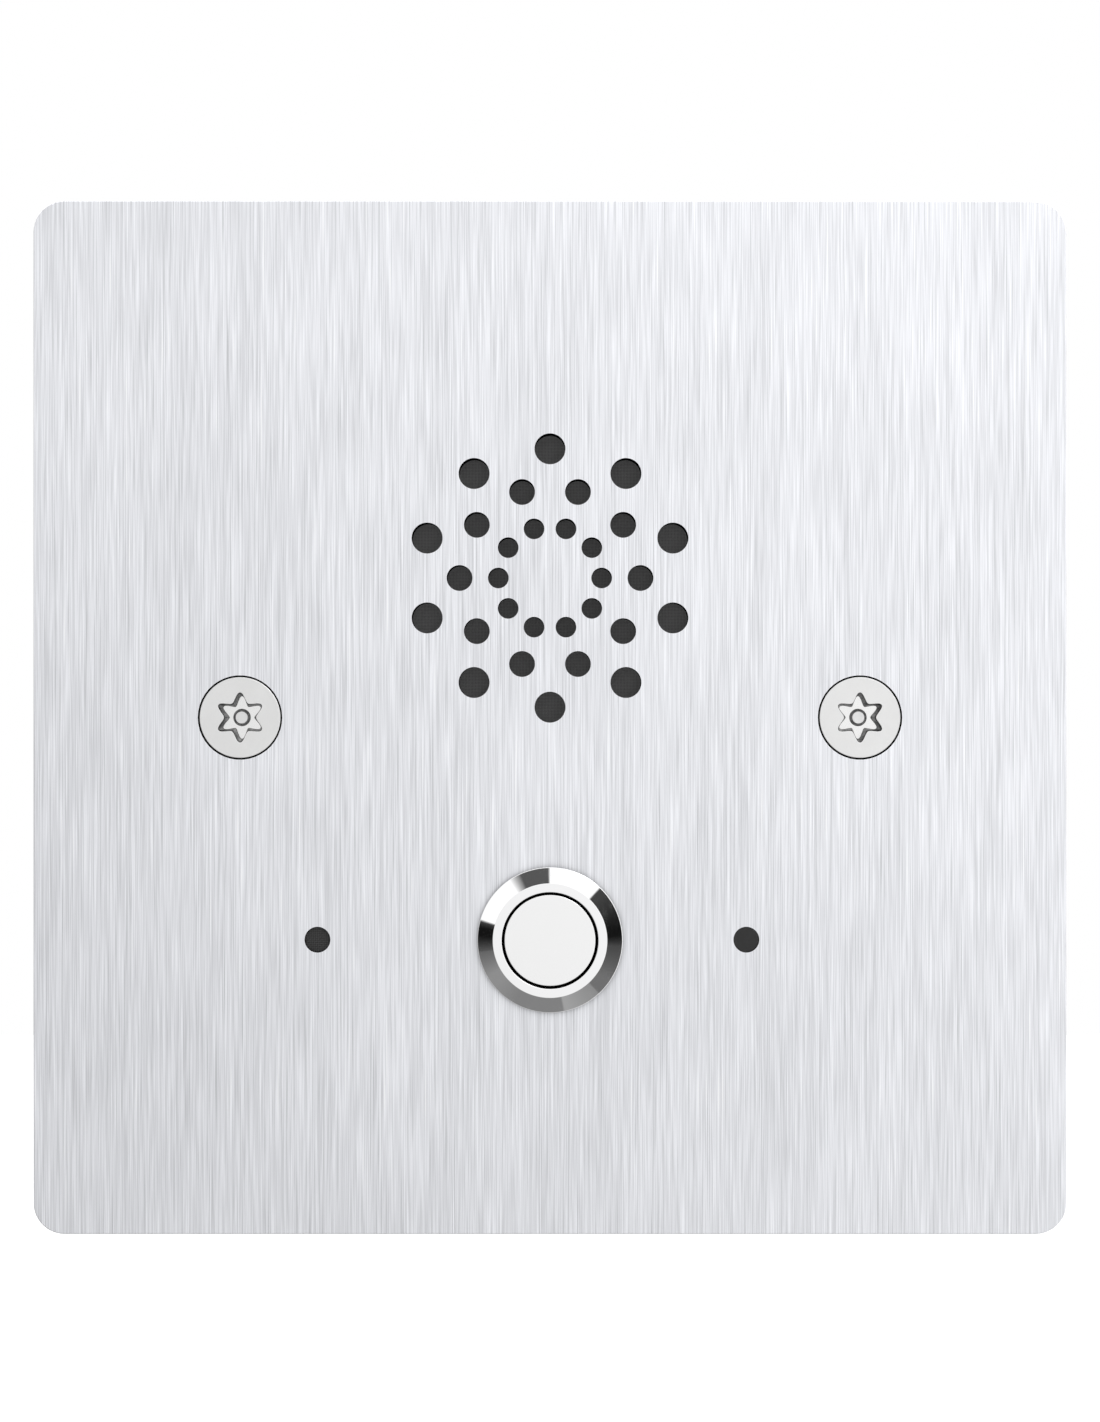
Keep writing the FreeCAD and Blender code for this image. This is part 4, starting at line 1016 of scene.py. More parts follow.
def cloth_finish():
    """Open weave; a faint glow stands for the daylight that comes through it from the open back."""
    cloth = Finish("dust cloth", (0.105, 0.105, 0.106), 0.95, constants={
        "Sheen Weight": 0.15, "Sheen Roughness": 0.6, "Specular IOR Level": 0.2,
        "Emission Color": WHITE, "Emission Strength": 0.024})
    lift, gap = cloth.marks(WEAVE, threads=7.0)
    return cloth.shade(lift, 0.78, 1.18).tint(gap, (0.02, 0.02, 0.021)).relief(lift, 0.03).material


cloth = piece("stretched_speaker_cloth", [stretched_cloth()], cloth_finish(), "speaker_cloth")
print("cloth:", len(cloth.data.polygons), "faces")

# %% [markdown]
# The microphone's fine mesh and the indicator's rod end just below the plate's face. Their noses keep the
# solid's shape; the finish does the rest.

# %% Microphone mesh and light pipe
def mesh_finish():
    mesh = Finish("black mesh", (0.034, 0.034, 0.034), 0.55, 0.3)
    lift, gap = mesh.marks(WEAVE, threads=5.5)
    return mesh.shade(lift, 0.6, 1.3).tint(gap, (0.012, 0.012, 0.012)).relief(lift, 0.05).material


def pipe_finish():
    glass = {"IOR": 1.49, "Transmission Weight": 0.85}
    clear = Finish("smoked clear rod", (0.02, 0.02, 0.021), 0.08, constants=glass)
    flow = clear.streaks(500, 90, 500)
    return clear.gloss(flow, 0.05, 0.14).relief(flow, 0.01).material


dress(mesh_finish(), "mic_screen")
dress(pipe_finish(), "light_pipe")
print("mesh and rod dressed")

# %% [markdown]
# ## Foam
# Two foam seals are squeezed between flat faces: a wide one between plate and wall, a small one between the
# cloth and the speaker. Each is a ring whose inner and outer edges follow any outline given by its radius
# at each angle, with edges that bulge a little where the foam was pressed.

# %% Foam rings
def square_radius(a, half, corner):
    """Distance from the middle of a rounded square to its edge at angle a.

    On a flat side it is half / max(|cos a|, |sin a|). Near a corner it is the far root of
    |r (cos a, sin a) - (half - corner)(1, 1)| = corner."""
    c, s = np.abs(np.cos(a)), np.abs(np.sin(a))
    flat = half / np.maximum(c, s)
    b = (half - corner) * (c + s)
    root = b + np.sqrt(np.maximum(b * b - 2 * (half - corner) ** 2 + corner ** 2, 0))
    in_corner = np.minimum(flat * c, flat * s) > half - corner
    return np.where(in_corner, root, flat)


def foam_ring(inner, outer, depth, centre, ease=0.25, bulge=0.12):
    """Closed ring: its cross-section runs from low to high on the outer side and back on the inner side."""
    low, high = depth
    t = np.linspace(0, math.pi / 2, 5)
    ins, rise = ease * (1 - np.sin(t)), ease * (1 - np.cos(t))
    side = np.linspace(low + ease, high - ease, 5)
    swell = bulge * np.sin(np.linspace(0, math.pi, 5))
    y = np.concatenate([low + rise, side, high - rise[::-1], high - rise, side[::-1], low + rise[::-1]])
    outward = np.concatenate([-ins, swell, -ins[::-1]])[:, None]
    radius = np.concatenate([outer + outward, inner - outward])
    a = np.linspace(0, 2 * math.pi, radius.shape[1])
    return round_axis(centre, np.concatenate([radius, radius[:1]]), np.append(y, y[0])[:, None], a)


def foam_finish():
    foam = Finish("foam", (0.045, 0.045, 0.047), 0.92, constants={"Specular IOR Level": 0.25})
    height, cells = foam.marks(CELLS, size=0.32)
    foam.shade(cells, 0.55, 1.5).cloud(14.0, 0.92, 1.12).dust(1.6, (0.32, 0.31, 0.29))
    return foam.relief(height, 0.12).material


FOAM = foam_finish()
wide, small = np.linspace(0, 2 * math.pi, 721), np.linspace(0, 2 * math.pi, 289)
gasket_ring = foam_ring(square_radius(wide, 35.0, 6.0), square_radius(wide, 49.0, 2.0),
                        depths("wall_gasket"), (0, 0))
seal_ring = foam_ring(np.full_like(small, 14.0), square_radius(small, CLOTH_SIDE / 2, 0.6),
                      depths("speaker_foam"), SPEAKER, 0.2, 0.15)
gasket = piece("wall_gasket_foam", [gasket_ring], FOAM, "wall_gasket", crease=60)
seal = piece("speaker_foam_ring", [seal_ring], FOAM, "speaker_foam", crease=60)
print("foam:", len(gasket.data.polygons), "and", len(seal.data.polygons), "faces")

# %% [markdown]
# ## The speaker
# A small speaker with a plastic frame: a pressed film with a domed middle, a copper coil glued to it, and a
# magnet in a steel cup. Through the frame's open back one sees the film's roll and its slanting ribs, which
# let it move without buckling. The film's height is a sum: a flat edge, half a sine for the roll, and a
# small wave along the angle inside the roll.

# %% Speaker film and voice coil
FILM_EDGE_Y = depths("speaker_diaphragm")[1]
COIL_FRONT, COIL_BACK = depths("voice_coil")
FILM_HOLE, ROLL_INNER, ROLL_WIDTH = 5.26, 8.7, 4.8
FORMER_INNER, FORMER_OUTER = 5.06, 5.14


def film_surround(thick=0.08):
    """Roll, ribs and a shallow cone down to the hole that the coil strokes through without touching.

    y = edge + 0.75 sin(pi q) + 0.075 sin(pi q) sin(26 a + 5 q) - cone, with q from 0 to 1 over the roll."""
    r = np.concatenate([np.linspace(FILM_HOLE, 8.6, 12), np.linspace(8.8, 13.4, 30), [13.9, 14.5, 15.0]])
    r = r[:, None]
    a = np.linspace(0, 2 * math.pi, 313)
    q = np.clip((r - ROLL_INNER) / ROLL_WIDTH, 0, 1)
    roll = 0.75 * np.sin(math.pi * q)
    ribs = 0.075 * np.sin(math.pi * q) * np.sin(26 * a + 5.0 * q)
    cone = -0.12 * np.clip((ROLL_INNER - r) / 3.6, 0, 1)
    back = round_axis(SPEAKER, r, FILM_EDGE_Y - thick + roll + ribs + cone, a)
    front = back - [0, thick, 0]
    return np.concatenate([back, front[::-1], back[:1]])


def film_dome():
    """Dome y = front - 0.72 + 0.55 (r / 4.95)^2, a neck inside the coil and a bead of glue round its end."""
    r = np.linspace(0, 4.95, 16)
    top = COIL_FRONT - 0.72 + 0.55 * (r / 4.95) ** 2
    bead = [(5.0, -0.14), (5.16, -0.12), (5.2, -0.04), (5.18, 0.12), (5.02, 0.14), (5.02, 0.6), (4.95, 0.6)]
    under = line_of(r[::-1] * 0.985, top[::-1] + 0.09)
    return turned(np.concatenate([line_of(r, top), np.array(bead) + [0, COIL_FRONT], under]), SPEAKER, 144)


def coil_winding():
    """Copper tube whose outside waves in y: r = 5.47 + 0.075 |sin(pi y / 0.18)|, one wave a turn of wire."""
    y = np.linspace(COIL_FRONT + 0.35, COIL_BACK - 0.15, 121)
    outside = line_of(5.47 + 0.075 * np.abs(np.sin(math.pi * (y - y[0]) / 0.18)), y)
    winding = np.concatenate([[(FORMER_INNER, y[0])], outside, [(FORMER_INNER, y[-1])]])
    former = [(FORMER_INNER, COIL_FRONT), (FORMER_OUTER, COIL_FRONT), (FORMER_OUTER, COIL_BACK),
              (FORMER_INNER, COIL_BACK), (FORMER_INNER, COIL_FRONT)]
    return [(turned(winding, SPEAKER), 0), (turned(former, SPEAKER), 1)]


def film_finish():
    film = Finish("speaker film", (0.30, 0.255, 0.18), 0.22,
                  constants={"Transmission Weight": 0.25, "IOR": 1.5, **coat(0.2, 0.15)})
    flow = film.streaks(160, 160, 160, 3.0)
    film.shade(flow, 0.78, 1.2).gloss(flow, 0.16, 0.34)
    return film.relief(film.grain(0.35), 0.008).material


def copper_finish():
    wire = Finish("enamelled copper", (0.62, 0.24, 0.09), 0.28, 1.0, coat(0.5, 0.2))
    band = wire.streaks(300, 11000, 300, 1.0)
    return wire.shade(band, 0.72, 1.22).gloss(band, 0.36, 0.22).material


def paper_finish():
    paper = Finish("coil former", (0.42, 0.30, 0.17), 0.6)
    fibre = paper.marks(BRUSH_LINES, across=4.0, along=0.9)["Shade"]
    return paper.shade(fibre, 0.8, 1.2).relief(fibre, 0.01).material


FILM = film_finish()
surround = piece("speaker_film_surround", [film_surround()], FILM, "speaker_diaphragm", crease=70)
piece("speaker_film_dome", [film_dome()], FILM, body="coil", crease=50)
piece("voice_coil_winding", coil_winding(), [copper_finish(), paper_finish()],
      "voice_coil", "coil", crease=50)
print("film:", len(surround.data.polygons), "faces")

# %% [markdown]
# The magnet stack is turned steel with zinc or nickel on it. The frame keeps its solid's shape, only with
# its edges broken, as a mould leaves them.

# %% Magnet, cup and frame
def plated_finish(name, colour, roughness, spangle, grain=0.004, patches=(0.93, 1.06)):
    """Plated sheet or turned steel: patches of crystal, a fine grain and light handling."""
    metal = Finish(name, colour, roughness, 1.0)
    count = 1000 / spangle
    patch = metal.split(metal.cells(metal.vector("MULTIPLY", metal.place, (count, count, count)))[1])[0]
    metal.shade(patch, *patches).cloud(7.0, 0.93, 1.04)
    metal.tint(metal.marks(HANDLING, size=4.0)["Rub"], tuple(0.72 * part for part in colour), 0.35)
    metal.gloss(patch, roughness - 0.04, roughness + 0.07)
    return metal.relief(metal.grain(0.11), grain).material


def moulded_finish(name, colour, roughness, grain=0.14, depth=0.012, dust=0.0, constants=()):
    """Moulded plastic: eroded grain from the mould, faint flow clouds, rubbed spots and a little dust."""
    plastic = Finish(name, colour, roughness, constants=constants)
    height, shade = plastic.marks(MOULDED_GRAIN, size=grain)
    plastic.shade(shade, 0.86, 1.14).cloud(6.0, 0.93, 1.09)
    if dust:
        plastic.dust(0.55, (0.5, 0.49, 0.46), dust)
    return plastic.rub(5.0, roughness, max(roughness - 0.16, 0.08)).relief(height, depth).material


def cup_skins():
    """Cup and top plate as turned profiles; the floor of the cup has a shallow centre mark."""
    rim, back = depths("magnet_cup")
    front, rear = depths("top_plate")
    cup = [(0, back - 0.12), (0.7, back - 0.12), (0.9, back), (6.65, back), (6.65, rim), (5.85, rim),
           (5.85, rear + 3.0), (0, rear + 3.0)]
    plate = [(0, front), (4.75, front), (4.75, rear), (0, rear)]
    return (turned(rounded(cup, [0.1, 0.1, 0.35, 0.12, 0.1, 0.2]), SPEAKER, 144),
            turned(rounded(plate, [0.12, 0.12], 4), SPEAKER))


ZINC_STEEL = plated_finish("zinc plated steel", (0.62, 0.63, 0.645), 0.3, 0.9)
SHEET_STEEL = plated_finish("pressed sheet steel", (0.58, 0.58, 0.58), 0.34, 2.2)
MAGNET_NICKEL = plated_finish("nickel plated magnet", (0.56, 0.55, 0.53), 0.24, 0.35, 0.0012, (0.98, 1.02))
BLACK_PLASTIC = moulded_finish("black plastic", (0.028, 0.028, 0.03), 0.46, dust=0.35)
cup_grid, top_plate_grid = cup_skins()
piece("magnet_cup_turned", [cup_grid], ZINC_STEEL, "magnet_cup")
piece("top_plate_turned", [top_plate_grid], ZINC_STEEL, "top_plate")
dress(MAGNET_NICKEL, "speaker_magnet")
eased("speaker_basket", 0.18, BLACK_PLASTIC)
eased("speaker_tabs", 0.12, SHEET_STEEL)


def tag_finish():
    """Paper board bound with resin: brown, with darker fibres lying along it and paler cut edges."""
    tag = Finish("tag board", (0.30, 0.155, 0.06), 0.5, constants=coat(0.15, 0.3))
    fibre = tag.streaks(700, 4000, 2600, 3.0, 0.6)
    tag.shade(fibre, 0.7, 1.3, 0.3, 0.7).tint(tag.cut_edge(0.3), (0.48, 0.31, 0.15), 0.5)
    return tag.relief(fibre, 0.015).material


TINNED_BRASS = plated_finish("tinned brass", (0.70, 0.69, 0.655), 0.27, 0.5, 0.0012, (0.97, 1.03))
eased("speaker_tag", 0.06, tag_finish())
eased("speaker_lugs", 0.05, TINNED_BRASS)
print("speaker dressed")

# %% [markdown]
# ## Inside the push-button
# Pressing the face pushes the stem back against a coil spring until a small bridge joins two contacts. The
# spring is a wire swept along a helix. Its ends are closed and ground, so the pitch drops to one wire at
# both ends.

# %% Return spring
def helix_path(centre, radius, start, stop, turns, wire, steps=48):
    """(cx + R cos a, y(a), cz + R sin a) and the direction away from the axis.

    The first and the last turn lie close, with a pitch of one wire."""
    a = np.linspace(0, 2 * math.pi * turns, int(turns * steps) + 1)
    pitch = wire + 12.0 * np.clip(np.minimum(a, a[-1] - a) / (2 * math.pi) - 0.75, 0.0, 0.5)
    climb = np.concatenate([[0], np.cumsum((pitch[1:] + pitch[:-1]) / 2)])
    path = round_axis(centre, radius, start + (stop - start) * climb / climb[-1], a)
    return path, round_axis((0, 0), 1.0, 0.0, a)


def spring_skin(wire=0.5):
    path, side = helix_path(BUTTON, 3.5, SPRING_FRONT + 0.26, SPRING_BACK - 0.26, 4.5, wire)
    return swept(path, side, circle(wire / 2))


SPRING_STEEL = turned_finish("spring steel", (0.55, 0.55, 0.56), 0.22, 0.002)
spring = piece("return_spring_wire", [spring_skin()], SPRING_STEEL, "return_spring",
               crease=60)
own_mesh(spring)

# %% [markdown]
# Nuts are turned from hexagon bar: six flats, with a cone that cuts the corners back on both faces. In
# polar form a flat is r = apothem / cos(a) within 30 degrees of its middle, and the cone lowers the face
# where that radius passes the apothem.

# %% Nuts
def nut_skin(node, across, bore, pitch):
    """Hexagon ring round the button's axis: bore, face, cone, flat, cone, face and back to the bore."""
    low, high = depths(node)
    apothem = across / 2
    corner = apothem / math.cos(math.pi / 6)

    def rows(profile, a):
        hexagon = apothem / np.cos((a - math.pi / 3) % (math.pi / 3) - math.pi / 6)
        coned = np.minimum(hexagon, apothem * 0.97)
        plain = np.repeat(profile[:, :1], len(a), 1)
        plain[-5:-1] = np.stack([coned, hexagon, hexagon, coned])
        plain[1:-6] -= ((1 - thread_wave(profile[:, 1], a, pitch)) * pitch * 0.5)[1:-6]
        return plain

    thread = line_of(bore, np.arange(low + pitch * 0.5, high - pitch * 0.5, pitch / 8))
    drop = (corner - apothem * 0.97) * 0.55
    outside = line_of(apothem, [high, high - drop, low + drop, low])
    edge = bore + 0.2
    ring = np.concatenate([[(edge, low)], thread, [(edge, high)], outside, [(edge, low)]])
    return turned(ring, BUTTON, 144, rows)


NICKEL_BRASS = plated_finish("nickel plated brass", (0.66, 0.64, 0.59), 0.3, 0.6, 0.0012, (0.98, 1.02))
piece("button_nut_turned", [nut_skin("button_nut", 14.0, 6.06, BARREL_PITCH)], NICKEL_BRASS,
      "button_nut", crease=25)
piece("stem_nut_turned", [nut_skin("stem_nut", 5.5, 1.64, 0.5)], NICKEL_BRASS,
      "stem_nut", "button", crease=25)
SWITCH_PLASTIC = moulded_finish("switch plastic", (0.045, 0.045, 0.05), 0.4, 0.1, 0.006, dust=0.2)
eased("bridge_holder", 0.12, BLACK_PLASTIC, body="button")
eased("contact_bridge", 0.05, TINNED_BRASS, body="button")
eased("fixed_contacts", 0.05, TINNED_BRASS)
eased("contact_block", 0.15, SWITCH_PLASTIC)
print("button dressed")

# %% [markdown]
# ## Microphone and indicator
# The microphone is a drawn aluminium can in a rubber boot, closed by a small board with two solder pads.
# The indicator is a lamp body on the circuit board with a clear rod in front of it.

# %% Microphone, boot and lamp
def mic_skins():
    """Can with its rolled rear edge, and the boot round it."""
    front, back = depths("mic_capsule")
    can = [(0, front), (3.0, front), (3.0, back), (2.7, back), (2.62, back - 0.15), (0, back - 0.15)]
    front, back = depths("mic_boot")
    boot = [(3.0, front), (3.9, front), (3.9, back), (3.0, back), (3.0, front)]
    return (turned(rounded(can, [0.3, 0.15, 0.08, 0.04], 4), MICROPHONE),
            turned(rounded(boot, [0.2, 0.3, 0.12]), MICROPHONE))


def rubber_finish():
    rubber = Finish("black rubber", (0.026, 0.026, 0.026), 0.72, constants={"Specular IOR Level": 0.35})
    height, shade = rubber.marks(MOULDED_GRAIN, size=0.2)
    rubber.shade(shade, 0.8, 1.25).tint(rubber.marks(HANDLING, size=3.0)["Cloud"], (0.07, 0.07, 0.07), 0.25)
    return rubber.dust(0.6, (0.4, 0.39, 0.37), 0.6).relief(height, 0.012).material


def lamp_finish():
    """White lamp body with a round yellow window on its front, as white lamps have."""
    lamp = Finish("lamp body", (0.80, 0.79, 0.75), 0.4)
    window = lamp.times(lamp.span(lamp.apart(INDICATOR), 0.00115, 0.00105),
                        lamp.math("LESS_THAN", lamp.split(lamp.place)[1], 0.01175))
    height, shade = lamp.marks(MOULDED_GRAIN, size=0.1)
    return lamp.shade(shade, 0.9, 1.05).tint(window, (0.86, 0.62, 0.08)).relief(height, 0.004).material


capsule_grid, boot_grid = mic_skins()
piece("mic_capsule_can", [capsule_grid], turned_finish("drawn aluminium", (0.70, 0.70, 0.71), 0.3, 0.003),
      "mic_capsule")
piece("mic_boot_rubber", [boot_grid], rubber_finish(), "mic_boot", crease=50)
eased("indicator_led", 0.12, lamp_finish())
print("microphone and lamp dressed")

# %% [markdown]
# ## The circuit board
# Green lacquer over glass cloth: the weave shows faintly through it and plainly at the sawn edges, where
# there is no lacquer. The board keeps its solid's shape, and the weave is a wave in X and Z.

# %% Board finish
def board_finish():
    """Lacquer over glass cloth; bare laminate with its glass fibres where the edge is sawn."""
    board = Finish("solder mask green", (0.012, 0.115, 0.055), 0.32, constants=coat(0.35, 0.12))
    weave = board.marks(WEAVE, threads=2.0)["Height"]
    rim, glass = board.cut_edge(0.4), board.streaks(1800, 7000, 1800, 2.0, 0.6)
    board.shade(weave, 0.88, 1.10).cloud(11.0, 0.90, 1.12).tint(rim, (0.42, 0.40, 0.22))
    board.tint(board.times(rim, board.span(glass, 0.4, 0.65)), (0.22, 0.22, 0.10)).roughen(rim, 0.75)
    return board.dust(0.9, (0.45, 0.47, 0.42), 0.5).relief(weave, 0.008).material


def track_finish():
    track = Finish("track under mask", (0.03, 0.20, 0.085), 0.3, constants=coat(0.35, 0.12))
    return track.cloud(7.0, 0.88, 1.12).relief(track.grain(0.2), 0.004).material


def solder_finish():
    solder = Finish("solder", (0.70, 0.70, 0.69), 0.24, 1.0)
    cloud = solder.streaks(1500, 1500, 1500)
    return solder.shade(cloud, 0.86, 1.08).gloss(cloud, 0.16, 0.42).relief(cloud, 0.02).material


SOLDER = solder_finish()
dress(board_finish(), "circuit_board")
print("board", round(BOARD_BACK - BOARD_FRONT, 2), "mm thick dressed")

# %% [markdown]
# Copper tracks stand up under the lacquer as slightly paler lines. Here they are thin strips along routes
# with 45 degree bends, in bundles of parallel tracks, as a layout program draws them. A via, a small plated
# hole, ends each track.

# %% Tracks and vias
TRACK_ROUTES = [
    (6, 0.55, [(-8.4, 3.6), (-9.4, 3.6), (-9.4, 7.0), (-9.4, 7.6)]),
    (5, 0.60, [(-2.6, 7.8), (-2.6, 16.5), (1.9, 21.0), (1.9, 24.2)]),
    (4, 0.75, [(5.2, 4.4), (7.4, 4.4), (9.0, 6.0), (9.0, 8.9)]),
    (4, 0.65, [(14.0, 13.0), (15.0, 13.0), (15.0, 21.0), (13.0, 23.6)]),
    (3, 0.80, [(-1.6, -4.8), (-1.6, -8.2)]),
    (5, 0.55, [(-8.2, -1.5), (-9.2, -1.5), (-9.2, -9.0), (-12.0, -11.8), (-18.8, -11.8)]),
    (3, 1.10, [(5.2, -8.6), (8.0, -11.4), (22.0, -11.4), (25.5, -14.9), (25.5, -20.0)]),
    (4, 0.90, [(10.0, -15.0), (10.0, -18.0), (13.5, -21.5), (13.5, -23.3)]),
    (3, 0.80, [(-12.5, 24.6), (-12.5, 27.4), (2.9, 27.4)]),
    (5, 0.50, [(-19.6, 7.8), (-23.2, 4.2), (-23.2, -6.9), (-26.8, -10.5), (-26.8, -19.2), (-20.6, -25.4)]),
    (4, 0.70, [(-19.0, -16.4), (-12.6, -16.4), (-8.9, -20.1), (-8.9, -26.0)]),
    (3, 0.75, [(21.0, 19.2), (25.0, 19.2), (28.8, 23.0), (28.8, 24.6)]),
    (4, 0.60, [(-17.2, -30.0), (-6.5, -30.0), (0.5, -30.0), (7.6, -30.0)])]
TRACK_WIDTH, TRACK_LIFT = 0.26, 0.035


def parallel_routes(count, pitch, route):
    """Copies of a route side by side: each corner moves along its bisector by d / cos(half the bend)."""
    route = np.asarray(route, float)
    leg = unit(np.diff(route, axis=0))
    square = np.stack([-leg[:, 1], leg[:, 0]], -1)
    inner = square[:-1] + square[1:]
    inner = 2 * inner / (inner * inner).sum(1, keepdims=True)
    bisector = np.concatenate([square[:1], inner, square[-1:]])
    offset = (np.arange(count) - (count - 1) / 2) * pitch
    return route + offset[:, None, None] * bisector


def surface(outward):
    """Depth of the board's back face (outward 1) or front face (outward -1)."""
    return BOARD_BACK if outward > 0 else BOARD_FRONT


def strip_on_board(route, width, height, outward=1):
    """Flat strip on a face of the board: width across the route, height off the face."""
    path = np.insert(np.asarray(route, float), 1, surface(outward), axis=1)
    side = np.cross([0.0, 1.0, 0.0], np.gradient(path, axis=0))
    return swept(path, side, strip(width / 2, -0.01 * outward, height * outward, 0.8))


def drawn_in(line, step):
    """The line with both ends pulled in by `step`, so that vias of neighbours don't touch."""
    line = line.copy()
    line[[0, -1]] += step * unit(line[[1, -2]] - line[[0, -1]])
    return line


def via_skins(places, outward, radius=0.25):
    """Small plated rings: the floor of the hole, its edge, a collar and its rim."""
    r = radius * np.array([0, 0.35, 0.5, 0.9, 1.0])
    y = surface(outward) + outward * np.array([-0.06, -0.06, 0.045, 0.045, 0])
    return [turned(line_of(r, y), place, 12) for place in places]


def beside(place, node, reach=1.9):
    """Whether a place on the board is nearer than `reach` to a part."""
    low, high = seen_box(node)
    return np.all((low - reach < place) & (place < high + reach))


tracks, via_places = [], []
for count, pitch, route in TRACK_ROUTES:
    for number, line in enumerate(parallel_routes(count, pitch, route)):
        line = drawn_in(line, 0.7 * (number % 2))
        tracks += [strip_on_board(line, TRACK_WIDTH, TRACK_LIFT, outward) for outward in (1, -1)]
        via_places += [line[0], line[-1]]
piece("board_tracks", tracks, track_finish(), crease=40)
via_places = [p for p in via_places if not (beside(p, "processor") or beside(p, "network_transformer"))]
piece("board_vias", via_skins(via_places, 1) + via_skins(via_places, -1), SOLDER, crease=50)
print("tracks:", len(tracks), "vias:", len(via_places))

# %% [markdown]
# White lines printed on the lacquer show where each part goes. Only outlines are drawn here; a real board
# has letters and numbers too, which a board of no particular maker goes without.

# %% Printed outlines
# Of each connector: x, z, width, height. Of each chip: legs on a side, their pitch, the sides they are on,
# width, reach and rise of a leg.
CONNECTORS = [(26.6, 13.5, 5.6, 7.4), (0.0, -10.6, 7.4, 5.4), (-22.5, -11.2, 7.4, 5.6)]
CHIP_LEGS = {
    "processor": (13, 0.65, [(1, 0), (-1, 0), (0, 1), (0, -1)], 0.28, 0.95, 0.75),
    "audio_amplifier": (5, 1.15, [(0, 1), (0, -1)], 0.4, 0.95, 0.6),
    "network_transformer": (8, 1.45, [(0, 1), (0, -1)], 0.5, 1.2, 1.5)}
CAN_RADIUS = 4.0
CAN_X, CAN_TOP = seen_middle("smoothing_capacitors")[0], depths("smoothing_capacitors")[1]
CAN_LOW, CAN_HIGH = (corner[1] for corner in seen_box("smoothing_capacitors"))
CAN_CENTRES = [(CAN_X, CAN_LOW + CAN_RADIUS), (CAN_X, CAN_HIGH - CAN_RADIUS)]


def print_finish():
    ink = Finish("white print", (0.66, 0.68, 0.65), 0.55)
    worn = ink.streaks(2500, 2500, 2500)
    return ink.shade(worn, 0.75, 1.08, 0.3, 0.6).relief(worn, 0.004).material


def rectangle(low, high):
    """Closed route round a rectangle from halfway up its left side."""
    (x0, z0), (x1, z1) = low, high
    middle = (z0 + z1) / 2
    return np.array([(x0, middle), (x0, z1), (x1, z1), (x1, z0), (x0, z0), (x0, middle)])


def brackets_of(node, gap=0.35, length=0.9):
    """Four corner brackets round a part with legs on its sides."""
    low, high = seen_box(node)
    sides_x, sides_z = (((low[k] - gap, length), (high[k] + gap, -length)) for k in (0, 1))
    return [np.array([(x, z + dz), (x, z), (x + dx, z)]) for x, dx in sides_x for z, dz in sides_z]


around = np.linspace(0, 2 * math.pi, 49)
routes = []
for node, gap in (("power_inductor", 0.4), ("terminal_block", 0.3)):
    low, high = seen_box(node)
    routes.append(rectangle(low - gap, high + gap))
for node in CHIP_LEGS:
    routes += brackets_of(node)
for centre in CAN_CENTRES[::-1]:
    routes.append(centre + (CAN_RADIUS + 0.35) * line_of(np.cos(around), np.sin(around)))
for x, z, wide, tall in CONNECTORS:
    routes.append(rectangle((x - wide / 2, z - tall / 2), (x + wide / 2, z + tall / 2)))
piece("board_print", [strip_on_board(route, 0.16, 0.012) for route in routes], print_finish(),
      crease=50)
print("printed lines:", len(routes))

# %% [markdown]
# Parts with legs through the board end in shiny solder cones on its other side, which one sees between
# plate and board. Each cone's outline sinks like a tent: steep at the pin, flat at the pad.

# %% Solder joints
JACK_LEFT, JACK_Z = seen_box("jack_shield")[0][0], seen_middle("jack_shield")[1]
RELAY_X, RELAY_Z = seen_middle("door_relay")
TERMINAL_MIDDLE, TERMINAL_Z = seen_middle("terminal_block")
TERMINAL_X = TERMINAL_MIDDLE + 3.5 * (np.arange(4) - 1.5)

pins = [(JACK_LEFT + 5.0 + 2.54 * (i % 2), JACK_Z + 1.02 * (i - 3.5)) for i in range(8)]
pins += [(JACK_LEFT + 10.5, JACK_Z - 7.6), (JACK_LEFT + 10.5, JACK_Z + 7.6)]
pins += [(x, TERMINAL_Z - 0.6) for x in TERMINAL_X]
pins += [(CAN_X, z + s * 1.75) for _, z in CAN_CENTRES for s in (-1, 1)]
pins += [(RELAY_X + x, RELAY_Z + z) for x, z in ((-6, 0), (-2, -2.5), (-2, 2.5), (5.5, -2.5), (5.5, 2.5))]
for x, z, wide, tall in CONNECTORS:
    half = (1.27, 0) if wide > tall else (0, 1.27)
    pins += [(x + s * half[0], z + s * half[1]) for s in (-1, 1)]


def solder_cone(place):
    """Profile (r, y) with r = 0.22 + 0.62 t^2 while y rises from the pin's side to the pad."""
    t = np.linspace(0, 1, 8)
    tip = [(0, -1.35), (0.14, -1.33), (0.2, -1.25)]
    skirt = line_of(0.22 + 0.62 * t ** 2, -0.95 * (1 - t))
    return turned(np.concatenate([tip, skirt, [(0, 0)]]) + [0, BOARD_FRONT], place, 20)


piece("solder_joints", [solder_cone(p) for p in pins], SOLDER, crease=50)
print("solder joints:", len(pins))

# %% [markdown]
# Chips stand on bent legs. One leg is a flat strip swept along an S: out of the body, down, and flat on its
# pad. The rest are copies at the pitch of the package, turned to the four sides by swapping x and z.

